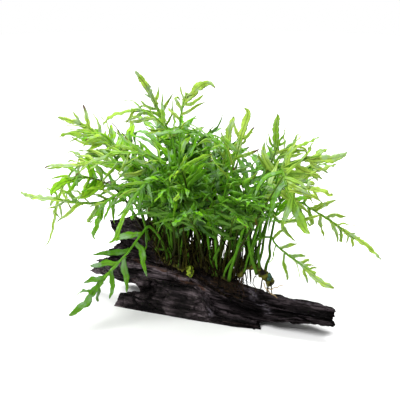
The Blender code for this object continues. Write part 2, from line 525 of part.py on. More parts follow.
class Frond:
    """One frond: stalk, midrib and leaflets, built up as a single closed solid."""

    def __init__(self, path, blade_start, pairs, longest, roll, facing):
        shares = [0.0, 0.5 * blade_start]
        for k in range(2 * pairs + 1):
            shares.append(blade_start + (BLADE_END - blade_start) * (k / (2.0 * pairs)) ** 0.94)
        self.pairs, self.longest = pairs, longest
        self.centres = spaced(through(path, 60), shares + [0.92, 1.0])
        self.ahead, self.sides, self.faces_up = frond_frame(self.centres, roll, facing)
        self.rings = [self.ring(i, share / shares[-1], 0.0) for i, share in enumerate(shares)]
        self.swollen = [self.ring(i, share / shares[-1], GAP) for i, share in enumerate(shares)]
        self.points, self.faces = [], []
        for ring in self.rings:
            self.points.extend(ring)
        self.points.append(self.centres[0] - self.ahead[0] * 0.12)
        self.open_sides = set()
        self.own = Surroundings()

    def ring(self, i, part, swell):
        wide = STIPE_WIDTH * (1 - part) + RACHIS_WIDTH * part
        wide = wide * (0.75 + 0.25 * min(1.0, self.longest / 26.0)) + 2 * swell
        return rachis_ring(self.centres[i], self.sides[i], self.faces_up[i], wide, 0.92 * wide)

    def lobe(self, swell):
        """The end leaflet's middle section and tip."""
        x = self.sides[-2] * (0.5 * PINNA_WIDTH * (0.72 + 0.28 * self.longest / 28.0) + swell)
        y = self.faces_up[-2] * (0.5 * PINNA_THICKNESS + swell)
        end = self.centres[-1] + (self.centres[-1] - self.centres[-2]).normalized() * swell
        return [self.centres[-2] - x - y, self.centres[-2] + y, self.centres[-2] + x - y, end]

    def spine(self, swell):
        """The stalk, midrib and end leaflet alone, without its base point."""
        rings = self.swollen if swell else self.rings
        points = []
        for ring in rings:
            points.extend(ring)
        if swell:
            points[0:4] = [point + self.ahead[0] * 0.1 for point in points[0:4]]
        last = len(points) - 4
        base = len(points)
        points.extend(self.lobe(swell))
        faces = [(3, 2, 1), (3, 1, 0)]
        for j in range(len(rings) - 1):
            for i in range(4):
                k = (i + 1) % 4
                faces.append((4 * j + i, 4 * j + k, 4 * j + 4 + k))
                faces.append((4 * j + i, 4 * j + 4 + k, 4 * j + 4 + i))
        faces.extend(leaflet_faces(last + 2, last + 3, last, last + 1, base + 2, base + 1, base, base + 3))
        return points, faces

    def add_leaflet(self, k, around, owner, chance):
        """The k-th leaflet, turned, raised or shortened until it has room, or left off."""
        ring = 2 + k
        share = (k + 0.5) / (2.0 * self.pairs)
        full = self.longest * (0.62 + 0.38 * math.sin(math.pi * (0.22 + 0.62 * share)) - 0.42 * share ** 2)
        which = (k + self.pairs) % 2
        low, high = self.rings[ring], self.rings[ring + 1]
        if which == 0:
            near = [low[1], low[0], high[0], high[1]]
            corner = [4 * ring + 1, 4 * ring, 4 * ring + 4, 4 * ring + 5]
            sign = -1.0
        else:
            near = [low[2], low[3], high[3], high[2]]
            corner = [4 * ring + 2, 4 * ring + 3, 4 * ring + 7, 4 * ring + 6]
            sign = 1.0
        root = sum(near, Vector()) / 4.0
        step = (self.ahead[ring] + self.ahead[ring + 1]).normalized()
        side = (self.sides[ring] + self.sides[ring + 1]).normalized() * sign
        face = (self.faces_up[ring] + self.faces_up[ring + 1]).normalized()
        size = full * chance.uniform(0.84, 1.16)
        lean = math.radians(60 - 26 * share + chance.uniform(-12, 12))
        droop = math.radians(chance.uniform(-26, 12))
        slender = chance.uniform(0.80, 1.08)
        for turn, rise, scale in LEAFLET_TRIES:
            angle = lean + math.radians(turn)
            tilt = droop + math.radians(rise)
            flat = side * math.sin(angle) + step * math.cos(angle)
            out = (flat * math.cos(tilt) + face * math.sin(tilt)).normalized()
            upper = (face - out * face.dot(out)).normalized()
            length = size * scale
            width = min(PINNA_WIDTH, 0.20 * length + 0.6) * slender
            middle, end = leaflet_points(root, step, out, upper, length, width, 0.0)
            wide_middle, wide_end = leaflet_points(root, step, out, upper, length, width, GAP)
            inner = [root.lerp(corner_point, 0.9) + out * 1.0 for corner_point in near]
            room = test_solid(inner, wide_middle, wide_end)
            if around.touches(*room, owner) or self.own.touches(*room):
                continue
            start = [root.lerp(corner_point, 0.55) + out * (0.18 * length) for corner_point in near]
            self.own.add(*test_solid(start, middle, end))
            around.add(*test_solid(near, middle, end), owner)
            base = len(self.points)
            self.points.extend(middle + [end])
            patch = leaflet_faces(*corner, base, base + 1, base + 2, base + 3)
            if which == 0:
                patch = [(p, r, q) for p, q, r in patch]
            self.faces.extend(patch)
            self.open_sides.add((ring, 2 * which))
            return

    def solid(self):
        """Points and faces of the whole frond."""
        count = len(self.rings)
        for j in range(count - 1):
            for i in range(4):
                k = (i + 1) % 4
                if (j, i) in self.open_sides:
                    continue
                self.faces.append((4 * j + i, 4 * j + k, 4 * j + 4 + k))
                self.faces.append((4 * j + i, 4 * j + 4 + k, 4 * j + 4 + i))
        for i in range(4):
            self.faces.append(((i + 1) % 4, i, 4 * count))
        last = 4 * (count - 1)
        base = len(self.points)
        self.points.extend(self.lobe(0.0))
        self.faces.extend(leaflet_faces(last + 2, last + 3, last, last + 1, base + 2, base + 1, base, base + 3))
        return self.points, self.faces


def rising_path(start, heading, rise, fall, length, chance):
    """Four points of a frond that rises, leans out and levels or drops at its tip."""
    turn = math.radians(heading)
    bend = chance.uniform(-14, 14)
    points = [start]
    shares = (0.42, 0.33, 0.25)
    angles = (rise, 0.55 * rise + 0.30 * fall, fall)
    for part, angle in zip(shares, angles):
        tilt = math.radians(angle)
        level = Vector((math.cos(turn), math.sin(turn), 0.0))
        points.append(points[-1] + (level * math.cos(tilt) + UP * math.sin(tilt)) * (length * part))
        turn += math.radians(bend)
    return points


def hero_frond(row, rhizomes, attempt, chance):
    """A frond that the picture shows, moved a little further on each attempt."""
    name, share, side, lift, bend, tip, pairs, longest, start, facing = row
    spread = 0.02 * attempt ** 0.8
    at = min(LAST_FROND[name], max(0.01, share + chance.uniform(-spread, spread)))
    tilt = side + chance.uniform(-1, 1) * min(60.0, 3.0 * attempt)
    foot = base_point(rhizomes[name], at, tilt)
    away = min(7.0, 0.3 * attempt)
    offsets = [Vector([chance.uniform(-away, away) for _ in range(3)]) for _ in range(2)]
    path = [foot, Vector(lift) + offsets[0], Vector(bend) + offsets[1], Vector(tip)]
    return Frond(path, start, pairs, longest, 0.0, facing)


def tuft_frond(row, rhizomes, attempt, chance):
    """A frond of the tuft, turned a little further on each attempt."""
    name, share, side, heading, rise, fall, length, pairs, longest, roll = row
    spread = 0.02 * attempt ** 0.8
    at = min(LAST_FROND[name], max(0.01, share + chance.uniform(-spread, spread)))
    tilt = side + chance.uniform(-1, 1) * min(60.0, 3.0 * attempt)
    foot = base_point(rhizomes[name], at, tilt)
    way = heading + chance.uniform(-1, 1) * min(30.0, 1.0 * attempt)
    path = rising_path(foot, way, rise + chance.uniform(-5, 5), fall + chance.uniform(-8, 8),
                       length * chance.uniform(0.95, 1.05), chance)
    return Frond(path, chance.uniform(0.30, 0.40), pairs, longest, roll, 0.2)


def grow_fronds(rhizomes, around, chance):
    """Every frond's stalk and midrib first, then their leaflets where there is room."""
    fronds = []
    for grow, rows in ((hero_frond, HERO_FRONDS), (tuft_frond, TUFT_FRONDS)):
        for row in rows:
            for attempt in range(FROND_TRIES):
                found = grow(row, rhizomes, attempt, chance)
                if not around.touches(*found.spine(GAP)):
                    break
            else:
                print("no room for a frond", row[:3])
                continue
            fronds.append(found)
            around.add(*found.spine(0.0), len(fronds))
    longest = max(frond.pairs for frond in fronds)
    for k in range(2 * longest):
        for owner, found in enumerate(fronds, 1):
            if k < 2 * found.pairs:
                found.add_leaflet(k, around, owner, chance)
    return fronds


def main():
    for old in list(bpy.data.objects):
        bpy.data.objects.remove(old, do_unlink=True)
    chance = np.random.RandomState(SEED)
    wood = material("driftwood", WOOD_DARK, 0.55)
    slab_wood = material("driftwood_slab", WOOD_DARK, 0.5)
    stem = material("rhizome", RHIZOME_BROWN, 0.8)
    bright = material("bud_bright", BUD_GREEN, 0.55)
    deep = material("bud_dark", BUD_DEEP, 0.5)
    matted = material("root_mat", ROOT_BROWN, 0.9)
    pale = material("root", ROOT_PALE, 0.7)
    leaf = material("frond", LEAF_GREEN, 0.45)
    shade_leaf = material("frond_inner", LEAF_DEEP, 0.45)

    around = Surroundings()
    log = wood_solid(LOG_LINES, LOG_STATIONS, LOG_RINGS, 3.0, 9.0, 2.0)
    add_piece("driftwood_log", *log, wood)
    around.add(*log)
    slab = wood_solid(SLAB_LINES, SLAB_STATIONS, SLAB_RINGS, 7.0, 2.5, 1.5)
    add_piece("driftwood_slab", *slab, slab_wood)
    around.add(*slab)
    mat = root_mat(around)
    add_piece("root_mat", *mat, matted)
    around.add(*mat)

    rhizomes = {}
    for name, knots in RHIZOME_PATHS.items():
        rings = RHIZOME_RINGS[name]
        path = through([from_log(*knot) for knot in knots], rings)
        radii = []
        for j in range(rings):
            swell = 1.0 + 0.10 * ripple(9.0 * j, 0.0, len(name))
            radii.append(RHIZOME_RADIUS * RHIZOME_SCALE[name] * swell)
        path = lifted(path, radii, around, (UP * 0.9 - ACROSS * 0.3).normalized())
        solid = tube(path, radii, 6, 0.55)
        add_piece(name, *solid, stem)
        around.add(*solid)
        rhizomes[name] = (path, radii)

    for name, owner, size, length in BUDS:
        path, radii = rhizomes[owner]
        ahead = (path[-1] - path[-2]).normalized()
        if name == "bud_right":
            lean = (ahead * 0.1 + UP * 0.95).normalized()
            foot = path[-1] + (UP - ACROSS).normalized() * (radii[-1] + size + GAP + 0.4)
        else:
            lean = (ahead * 0.2 - UP * 0.9 - ACROSS * 0.25).normalized()
            foot = path[-1] + ahead * (0.55 * radii[-1] + GAP + 0.3 + size) + UP * 3.0
        course = [foot + lean * (length * step) for step, _ in BUD_RINGS]
        solid = tube(course, [size * part for _, part in BUD_RINGS], 7, TUBE_DOME)
        add_piece(name, *solid, deep if name == "bud_right" else bright)
        around.add(*solid)

    for number, knots in enumerate(ROOT_PATHS, 1):
        path = through([from_log(*knot) for knot in knots], ROOT_RINGS)
        radii = [ROOT_RADIUS * (1.15 - 0.11 * j) for j in range(ROOT_RINGS)]
        solid = tube(path, radii, 4, 0.4)
        add_piece("root_%d" % number, *solid, pale if number > 2 else matted)
        around.add(*solid)

    fronds = grow_fronds(rhizomes, around, chance)
    for number, found in enumerate(fronds, 1):
        look = leaf if number <= len(HERO_FRONDS) else shade_leaf
        add_piece("frond_%02d" % number, *found.solid(), look)


main()
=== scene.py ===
"""Looks of an African water fern on driftwood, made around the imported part.

Tables and shape functions work in millimetres, with z up and the viewer at -Y. piece() turns the
points to metres. Every living or wooden piece is one or more closed sleeves: rings of points along
a course, with a single point that closes each end.
"""
import math

import bpy
import numpy as np
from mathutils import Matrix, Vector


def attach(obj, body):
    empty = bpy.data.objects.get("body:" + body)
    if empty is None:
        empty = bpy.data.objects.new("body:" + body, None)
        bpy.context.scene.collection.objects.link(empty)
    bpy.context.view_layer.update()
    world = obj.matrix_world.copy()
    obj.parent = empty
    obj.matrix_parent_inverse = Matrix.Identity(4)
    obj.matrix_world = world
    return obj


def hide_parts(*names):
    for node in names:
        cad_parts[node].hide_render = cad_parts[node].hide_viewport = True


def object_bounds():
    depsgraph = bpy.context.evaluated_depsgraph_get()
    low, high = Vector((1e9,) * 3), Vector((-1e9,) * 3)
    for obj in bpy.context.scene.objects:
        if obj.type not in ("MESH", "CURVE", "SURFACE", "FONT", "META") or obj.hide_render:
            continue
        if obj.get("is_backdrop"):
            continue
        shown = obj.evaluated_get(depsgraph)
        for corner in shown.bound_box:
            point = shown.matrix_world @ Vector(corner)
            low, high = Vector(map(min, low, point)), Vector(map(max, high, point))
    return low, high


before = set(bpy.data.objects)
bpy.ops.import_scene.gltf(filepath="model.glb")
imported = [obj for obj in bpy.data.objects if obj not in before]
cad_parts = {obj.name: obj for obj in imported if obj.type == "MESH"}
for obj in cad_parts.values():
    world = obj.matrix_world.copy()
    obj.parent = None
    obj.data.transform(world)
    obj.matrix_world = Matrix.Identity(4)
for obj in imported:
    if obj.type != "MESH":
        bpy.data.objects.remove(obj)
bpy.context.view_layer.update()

SEED = 17
LOG_ANGLE = math.radians(27.0)
ALONG = np.array([math.cos(LOG_ANGLE), -math.sin(LOG_ANGLE), 0.0])
ACROSS = np.array([math.sin(LOG_ANGLE), math.cos(LOG_ANGLE), 0.0])
UP = np.array([0.0, 0.0, 1.0])

# Length lines of the log and of the slab, close to the part's own, but with shorter left ends at the
# log's back and a few changed heights. A row has the line's left and right end, then how far across
# and how high it is at the stations along the wood.
LOG_STATIONS = (-84, -66, -48, -30, -10, 10, 30, 50, 70, 92, 116)
LOG_LINES = (
    (-24, 116, (-5, -9, -12, -13, -13, -13, -12, -13, -12, -12, -9), (6, 3, 0, 0, 0, 0, 0, 0, 4.6, 9, 9.5)),
    (-27, 118, (-7, -12, -14, -14, -13, -12, -10, -11, -15, -15, -11),
     (12, 12, 12, 14, 16, 14, 10, 7, 8, 11, 11)),
    (-88, 117, (3, -6, -15, -17, -16.6, -18, -18, -17, -17, -16, -12),
     (12, 15, 24, 27.6, 28.2, 27.6, 20, 15, 12.6, 13.2, 12.4)),
    (-74, 118, (-3, -11, -16.6, -17, -16.5, -18, -17.5, -16.5, -16, -15, -12),
     (20, 27, 33, 33, 30.4, 29, 21.4, 16.2, 13.8, 14.2, 13.6)),
    (-65, 115, (-5, -7, -12, -12.5, -13, -15, -15.4, -14.6, -13.8, -13.2, -11),
     (30, 31, 36, 35, 32, 30, 22.6, 17.4, 15.2, 15.2, 14.6)),
    (-68, 116, (-6, -9, -14, -14.5, -15, -16, -16, -15, -14.5, -14, -11),
     (34, 35, 39, 37.5, 34, 31.5, 24, 19, 17, 16.8, 16.6)),
    (-54, 117, (-5, -6, -8.6, -9, -10.6, -11, -11, -10, -9.5, -9, -8),
     (42, 44, 48, 44.5, 38.5, 33.6, 25.2, 21, 20.2, 19.8, 19.0)),
    (-70, 114, (2, 2, 1, 1, -1, -3, -4, -4, -4, -3, -4),
     (50, 54, 59, 54.5, 43, 34.6, 26.4, 22, 21.4, 20.8, 20.2)),
    (-71, 112, (5, 7, 8, 8, 6, 5, 3, 3, 3, 3, 1), (49, 56, 60, 55.5, 43, 34, 25.4, 20.4, 19.8, 19.8, 19.8)),
    (-60, 113, (10, 13, 15, 15, 14, 12, 10, 9, 8, 7, 4),
     (42, 48, 50, 45, 35, 28, 20.6, 15.6, 15.4, 16.8, 15.6)),
    (-61, 110, (14, 17, 20, 20, 20, 18, 15, 12, 10, 9, 5),
     (28, 31, 32, 29, 23, 18, 13, 9.4, 10.6, 13.2, 12.6)),
    (-64, 112, (10, 17, 22, 24, 23, 21, 18, 14, 10, 8, 4), (14, 15, 14, 12, 9, 7, 5, 4, 7, 10.8, 11)),
    (-56, 109, (6, 15, 20, 22, 21, 19, 16, 12, 7, 5, 2), (9, 7, 3, 0, 0, 0, 0, 0, 4.4, 9, 9.6)),
    (-32, 108, (0, 3, 4, 4, 4, 3, 2, 0, -2, -4, -4), (3, 1.5, 0, 0, 0, 0, 0, 0, 4.2, 8.4, 9)),
)
SLAB_STATIONS = (-50, -40, -25, 0, 17, 22, 26, 32, 46, 64)
SLAB_LINES = (
    (-48, 64, (-26, -26, -25.5, -24, -23.6, -23.2, -22.6, -22, -21, -17), (0, 0, 0, 0, 0, 0, 0, 0, 0, 0)),
    (-44, 66, (-27, -27, -26.5, -25.5, -25.2, -24.8, -23.8, -23, -22, -17.6),
     (10, 12, 10, 8, 8, 7, 5, 3, 2.6, 1.4)),
    (-31, 63, (-24.5, -24.5, -24, -23, -23, -22.6, -22.2, -22, -21.2, -17),
     (9, 13, 16, 17, 18, 16, 10, 6, 5, 2.5)),
    (-37, 61, (-22, -21.8, -21.6, -21.2, -21.2, -21, -20.8, -20.2, -19.8, -16.4),
     (20, 22, 24, 24.8, 26.2, 23, 14, 7.4, 6, 3)),
    (-34, 60, (-19.4, -19.4, -19.2, -18.8, -19.6, -19.2, -18, -17, -16.6, -15.4),
     (19, 21, 24.2, 25, 26, 22, 13, 7, 5.6, 3)),
    (-29, 61, (-17.4, -17.2, -16.8, -16, -15.8, -15.4, -15, -14.8, -15, -14.8),
     (6, 11, 14, 13, 12, 11, 8, 4.6, 3.6, 1.8)),
    (-47, 62, (-15.4, -15.2, -15, -14.8, -14.8, -14.6, -14.6, -14.6, -14.4, -14.4),
     (0, 0, 0, 0, 0, 0, 0, 0, 0, 0)),
)
# What marks the wood, each along a path of (along, line) places, where a line is a number in the
# table above, read round the girth: width, height raised, how dark, how brown and how pale. The dark
# marks are painted shade in grooves, hollows, pits and the recess under the log; the pale ones are a
# grey scar and painted highlights along lit ridges and edges.
LOG_MARKS = (
    (((52, 6.6), (61, 5.4), (66.7, 4.83), (71.3, 2.33)), 2.2, -0.9, 0.0, 0.0, 1.3),
    # Painted highlight along the log's upper edge
    (((51, 6.7), (68, 6.77), (91, 6.4), (109, 6.6), (116, 6.77)), 0.9, 0.5, 0.0, 0.0, 0.6),
    # Painted highlight along a lit ridge
    (((10, 5.3), (19, 5.43), (34, 5.87), (51, 6.73)), 1.3, 0.7, 0.0, 0.1, 0.35),
    (((-6, 4.3), (20, 4.57), (36, 5.0), (47, 5.33), (64, 5.57), (84, 5.4)), 1.7, -2.4, 0.9, 0.0, 0.0),
    (((70, 3.6), (94, 3.1), (108, 2.98)), 1.5, -1.8, 0.8, 0.0, 0.0),
    # Painted highlight along the log's right front
    (((88, 5.0), (107.6, 5.1), (117, 5.0)), 1.3, 0.5, 0.0, 0.0, 0.35),
    # Painted shade: the hollow under the log's front is made near black
    (((37, 1.6), (62, 1.5)), 8.5, -1.6, 1.0, 0.0, 0.0),
    (((-52, 4.83), (-31.6, 3.27), (-10.9, 3.03), (7.4, 2.13), (22, 2.33)), 2.0, 0.5, 0.0, 1.0, 0.0),
    (((-34, 4.4), (-12, 3.9), (8, 3.6), (20, 4.2)), 1.5, -2.0, 0.8, 0.0, 0.0),
    (((-44, 2.4), (-23, 2.1), (-4, 1.9)), 1.5, -1.6, 0.7, 0.0, 0.0),
    (((-66, 5.6), (-40, 5.6), (-16, 5.07)), 1.6, -1.4, 0.6, 0.0, 0.0),
)
SLAB_MARKS = (
    (((-38, 2.45), (-33, 2.30), (-26, 1.9), (-21, 2.5)), 3.2, -3.6, 1.0, 0.0, 0.0),
    (((-22, 2.6), (-18, 2.0), (-20, 1.3)), 2.0, -2.0, 0.8, 0.0, 0.0),
    (((-36, 3.10), (-20, 3.15), (0, 3.1), (16, 3.0)), 1.4, 0.5, 0.0, 0.9, 0.2),
    (((9, 3.5), (11.1, 3.35), (14, 2.6), (20.1, 2.02), (21, 1.3)), 2.4, -1.5, 0.3, 0.0, 0.0),
    (((24, 3.2), (27, 2.4), (29, 1.6)), 2.2, -0.8, 0.0, 0.0, 1.0),
    # Painted shade: the slab's right end, in the recess under the log, is made near black
    (((33, 3.3), (44, 3.0), (60, 2.6)), 6.5, -1.8, 1.0, 0.0, 0.0),
    (((36, 1.2), (48, 1.3), (62, 1.6)), 1.3, 0.9, 0.0, 0.6, 0.25),
    (((-46, 1.0), (-20, 0.9), (4, 0.9)), 1.4, -0.7, 0.4, 0.0, 0.0),
    (((37.1, 1.95), (46.1, 2.77)), 1.4, -1.0, 0.6, 0.0, 0.0),
)


# Arithmetic on whole arrays

def unit(v):
    """Vectors divided by their lengths."""
    return v / np.maximum(np.linalg.norm(v, axis=-1, keepdims=True), 1e-9)


def square_to(v, way):
    """v without its part along way, which has length 1, then made length 1 itself."""
    return unit(v - way * np.sum(v * way, axis=-1, keepdims=True))


def smooth(x, low, high):
    """0 below low, 1 above high, and 3x^2 - 2x^3 between."""
    x = np.clip((x - low) / (high - low), 0.0, 1.0)
    return x * x * (3.0 - 2.0 * x)


# Large odd numbers that mix the bits of a cell's place
CELL_MIX = np.array([374761393, 668265263, 1442695041])
SEED_MIX = 1274126177
BITS_32, BITS_24 = 0xFFFFFFFF, 0xFFFFFF


def lattice(cell, seed):
    """A repeatable value from 0 to 1 at each whole-numbered cell, by mixing the bits of its numbers."""
    mixed = (cell @ CELL_MIX + seed * SEED_MIX) & BITS_32
    mixed = ((mixed ^ (mixed >> 13)) * SEED_MIX) & BITS_32
    return ((mixed ^ (mixed >> 16)) & BITS_24) / float(BITS_24)


def noise(p, seed):
    """Smooth noise from -1 to 1: lattice values blended by 3x^2 - 2x^3 along each axis."""
    cell = np.floor(p).astype(np.int64)
    part = p - cell
    part = part * part * (3.0 - 2.0 * part)
    total = 0.0
    for corner in np.ndindex(2, 2, 2):
        weight = 1.0
        for axis in range(3):
            weight = weight * (part[..., axis] if corner[axis] else 1.0 - part[..., axis])
        total = total + weight * lattice(cell + np.array(corner), seed)
    return 2.0 * total - 1.0


def fractal(p, seed, octaves):
    """Noise, plus half of it at twice the scale, and so on."""
    total, size = 0.0, 1.0
    for octave in range(octaves):
        total = total + size * noise(p * 2.0 ** octave, seed + 31 * octave)
        size *= 0.5
    return total


def grid3(x, y, z):
    """Points from three arrays that broadcast."""
    return np.stack(np.broadcast_arrays(x, y, z), axis=-1)


# Meshes

class Skin:
    """Closed sleeves and their point values, joined to one mesh."""

    def __init__(self):
        self.points, self.quads, self.triangles, self.values = [], [], [], []
        self.count = 0

    def add(self, rings, start, end, values):
        """rings is (sleeves, rows, sides, 3), start and end are (sleeves, 3), values (sleeves, rows,
        sides, 8). A sleeve of negative volume has its faces turned round."""
        sleeves, rows, sides = rings.shape[:3]
        each = rows * sides + 2
        ring = np.arange(sides)
        following = (ring + 1) % sides
        low = np.arange(rows - 1)[:, None] * sides
        quads = np.stack([low + ring, low + following, low + sides + following, low + sides + ring], -1)
        quads = quads.reshape(-1, 4)
        last = (rows - 1) * sides
        triangles = np.concatenate([
            np.stack([following, ring, np.full(sides, each - 2)], -1),
            np.stack([last + ring, last + following, np.full(sides, each - 1)], -1)])
        points = np.concatenate([rings.reshape(sleeves, -1, 3), start[:, None], end[:, None]], axis=1)
        halves = np.concatenate([triangles, quads[:, [0, 1, 2]], quads[:, [0, 2, 3]]])
        a, b, c = (points[:, halves[:, i]] for i in range(3))
        inside_out = np.einsum("nij,nij->n", a, np.cross(b, c)) < 0.0
        offsets = self.count + each * np.arange(sleeves)
        for faces, kept in ((quads, self.quads), (triangles, self.triangles)):
            faces = faces[None] + offsets[:, None, None]
            faces[inside_out] = faces[inside_out][..., ::-1]
            kept.append(faces.reshape(-1, faces.shape[-1]))
        ends = np.stack([values[:, 0].mean(axis=1), values[:, -1].mean(axis=1)], axis=1)
        values = np.concatenate([values.reshape(sleeves, rows * sides, -1), ends], axis=1)
        self.points.append(points.reshape(-1, 3))
        self.values.append(values.reshape(-1, values.shape[-1]))
        self.count += sleeves * each


def piece(name, skin, look, nodes):
    """One object from a skin, with its point values as two colour attributes of four numbers. Of a
    pair of looks, the second is for the stalks."""
    points, quads, triangles, values = (np.concatenate(parts) for parts in (
        skin.points, skin.quads, skin.triangles, skin.values))
    mesh = bpy.data.meshes.new(name)
    mesh.vertices.add(len(points))
    mesh.vertices.foreach_set("co", (points * 0.001).astype(np.float32).ravel())
    mesh.loops.add(quads.size + triangles.size)
    corners = np.concatenate([quads.ravel(), triangles.ravel()])
    mesh.loops.foreach_set("vertex_index", corners.astype(np.int32))
    mesh.polygons.add(len(quads) + len(triangles))
    starts = np.concatenate([np.arange(len(quads)) * 4, quads.size + np.arange(len(triangles)) * 3])
    mesh.polygons.foreach_set("loop_start", starts.astype(np.int32))
    mesh.update(calc_edges=True)
    mesh.polygons.foreach_set("use_smooth", np.ones(len(mesh.polygons), bool))
    for number, label in enumerate(("form", "marks")):
        attribute = mesh.attributes.new(label, "FLOAT_COLOR", "POINT")
        attribute.data.foreach_set("color", values[:, 4 * number:4 * number + 4].astype(np.float32).ravel())
    looks = look if isinstance(look, tuple) else (look,)
    for each in looks:
        mesh.materials.append(each)
    if len(looks) > 1:
        stalk = values[:, MARKS.index("stalk")] > 0.5
        mesh.polygons.foreach_set("material_index", np.concatenate(
            [stalk[quads[:, 0]], stalk[triangles[:, 0]]]).astype(np.int32))
    mesh.validate()
    made = bpy.data.objects.new(name, mesh)
    bpy.context.scene.collection.objects.link(made)
    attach(made, "root")
    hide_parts(*nodes)


def sleeve_piece(name, rings, line, values, look, node):
    """A piece that is one closed sleeve round its line, in place of one node."""
    skin = Skin()
    skin.add(rings, line[:, 0], line[:, -1], values)
    piece(name, skin, look, [node])


# What the eight values of a point are. On wood the first four are dark, which is painted shade in
# cracks and hollows, edge, brown and pale, which is a grey scar and painted highlights.
MARKS = ("across", "along", "tone", "dry", "stalk", "under", "share", "speck")


def marks(shape, **named):
    """The eight values at every point of a shape: the named ones, and 0 for the others."""
    return np.stack([np.broadcast_to(named.get(key, 0.0), shape) for key in MARKS], axis=-1).astype(float)


# The solids' own courses, read from how their corners join

def welded(node):
    """A solid's corners in millimetres, and each corner's neighbours. Corners that agree to a
    thousandth of a millimetre are one."""
    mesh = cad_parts[node].data
    points = np.zeros(len(mesh.vertices) * 3, np.float32)
    mesh.vertices.foreach_get("co", points)
    corners = np.zeros(len(mesh.loops), np.int32)
    mesh.loops.foreach_get("vertex_index", corners)
    thousandths = np.round(points.reshape(-1, 3) * 1e6).astype(np.int64)
    keys, same = np.unique(thousandths, axis=0, return_inverse=True)
    faces = same.reshape(-1)[corners].reshape(-1, 3)
    joined = [set() for _ in range(len(keys))]
    for a, b, c in faces:
        joined[a] |= {b, c}
        joined[b] |= {a, c}
        joined[c] |= {a, b}
    return keys * 0.001, joined


def layers(start, joined, left_out=()):
    """Corners grouped by how many edges they are from start."""
    seen = {start} | set(left_out)
    groups = [[start]]
    while groups[-1]:
        ahead = set()
        for corner in groups[-1]:
            ahead |= joined[corner]
        groups.append(sorted(ahead - seen))
        seen |= ahead
    return groups[:-1]


def ring_centres(points, groups):
    """The mean place of each group's corners."""
    return np.array([points[group].mean(axis=0) for group in groups])


def ring_radii(points, groups):
    """The usual distance of each group's corners from their centre."""
    return np.array([np.linalg.norm(points[group] - points[group].mean(axis=0), axis=1).mean()
                     for group in groups])


def tube_course(node):
    """Centres and radii along a tube's solid, from the point at one end to the point at the other."""
    points, joined = welded(node)
    for start in range(len(points)):
        groups = layers(start, joined)
        sizes = [len(group) for group in groups]
        if len(groups) > 3 and sizes[-1] == 1 and len(set(sizes[1:-1])) == 1:
            break
    return ring_centres(points, groups), ring_radii(points, groups)


def frond_course(node):
    """The stalk's rings and every leaflet of a frond's solid.

    A leaflet's tip is a corner with three neighbours, which are its middle section. The corner across
    from the longest side of that section is its ridge. What else the section joins is the leaflet's
    root on the midrib. The stalk's rings are the layers outward from its lower end.
    """
    points, joined = welded(node)
    tips = [i for i, near in enumerate(joined) if len(near) == 3]
    middles = {tip: sorted(joined[tip]) for tip in tips}
    leafy = set(tips).union(*middles.values())
    foot = [i for i, near in enumerate(joined) if len(near) == 4 and i not in leafy][0]
    groups = layers(foot, joined, leafy)
    level = {corner: number for number, group in enumerate(groups) for corner in group}
    centres = ring_centres(points, groups)
    ahead = unit(np.gradient(centres, axis=0))
    leaves = []
    for tip in tips:
        section = middles[tip]
        sides = [np.linalg.norm(points[section[i - 1]] - points[section[i - 2]]) for i in range(3)]
        ridge = section[int(np.argmax(sides))]
        rear, front = [corner for corner in section if corner != ridge]
        root = sorted(set().union(*(joined[corner] for corner in section)) - set(section) - {tip})
        rows = sorted(level[corner] for corner in root)
        step = ahead[rows[0]]
        if np.dot(points[front] - points[rear], step) < 0.0:
            rear, front = front, rear
        middle = 0.5 * (points[rear] + points[front])
        start = 0.5 * (centres[rows[0]] + centres[rows[-1]])
        leaves.append((rows[0], rows[-1], start, middle, points[tip], points[front] - points[rear],
                       points[ridge] - middle))
    leaves.sort(key=lambda leaf: (leaf[0], leaf[1], tuple(leaf[2])))
    radii = ring_radii(points, groups)
    radii[0] = radii[1]
    return centres, radii, leaves


# Forms

def curve_through(knots, count):
    """count points, evenly spaced, on a smooth curve through the knots (n, 3): each span is the cubic
    that passes its two knots with the slope of the knots on either side."""
    padded = np.concatenate([2 * knots[:1] - knots[1:2], knots, 2 * knots[-1:] - knots[-2:-1]])
    t = np.linspace(0.0, 1.0, 24, endpoint=False)[None, :, None]
    p0, p1, p2, p3 = (padded[i:len(padded) - 3 + i][:, None] for i in range(4))
    dense = 0.5 * (2 * p1 + (p2 - p0) * t + (2 * p0 - 5 * p1 + 4 * p2 - p3) * t ** 2
                   + (3 * p1 - p0 - 3 * p2 + p3) * t ** 3)
    dense = np.concatenate([dense.reshape(-1, knots.shape[1]), knots[-1:]])
    run = np.concatenate([[0.0], np.cumsum(np.linalg.norm(np.diff(dense[:, :3], axis=0), axis=1))])
    at = np.linspace(0.0, run[-1], count)
    return np.stack([np.interp(at, run, dense[:, axis]) for axis in range(knots.shape[1])], axis=-1)


def round_rings(course, radius, sides):
    """Rings of a round sleeve: centre + radius (cos x side + sin x other), where side is level and other
    is square to side and to the course. course is (sleeves, rows, 3), radius (sleeves, rows)."""
    ahead = unit(np.gradient(course, axis=1))
    level = unit(np.cross(ahead, UP + 0.001 * ACROSS) + 1e-6)
    level = square_to(unit(level.mean(axis=1, keepdims=True) + 1e-6), ahead)
    other = np.cross(ahead, level)
    angle = np.linspace(0.0, 2.0 * math.pi, sides, endpoint=False)[None, None, :, None]
    return course[:, :, None] + radius[..., None, None] * (
        np.cos(angle) * level[:, :, None] + np.sin(angle) * other[:, :, None])


def picker(chance, count):
    """Draws a number between two limits for each of count things."""
    return lambda low, high: chance.uniform(low, high, (count, 1, 1))


# Where along a leaflet its solid's middle section stands, and how far apart its teeth are
MIDDLE_AT = 0.46
TEETH_SPACING = 2.6
# A leaf's cross section, round it: how far across (-1 to 1), and which side of the blade
LEAF_SECTION = np.array([(-1, 0), (-0.55, 1), (0, 1), (0.55, 1), (1, 0), (0.45, -1), (-0.45, -1)], float)
HALF_THICKNESS = 0.30
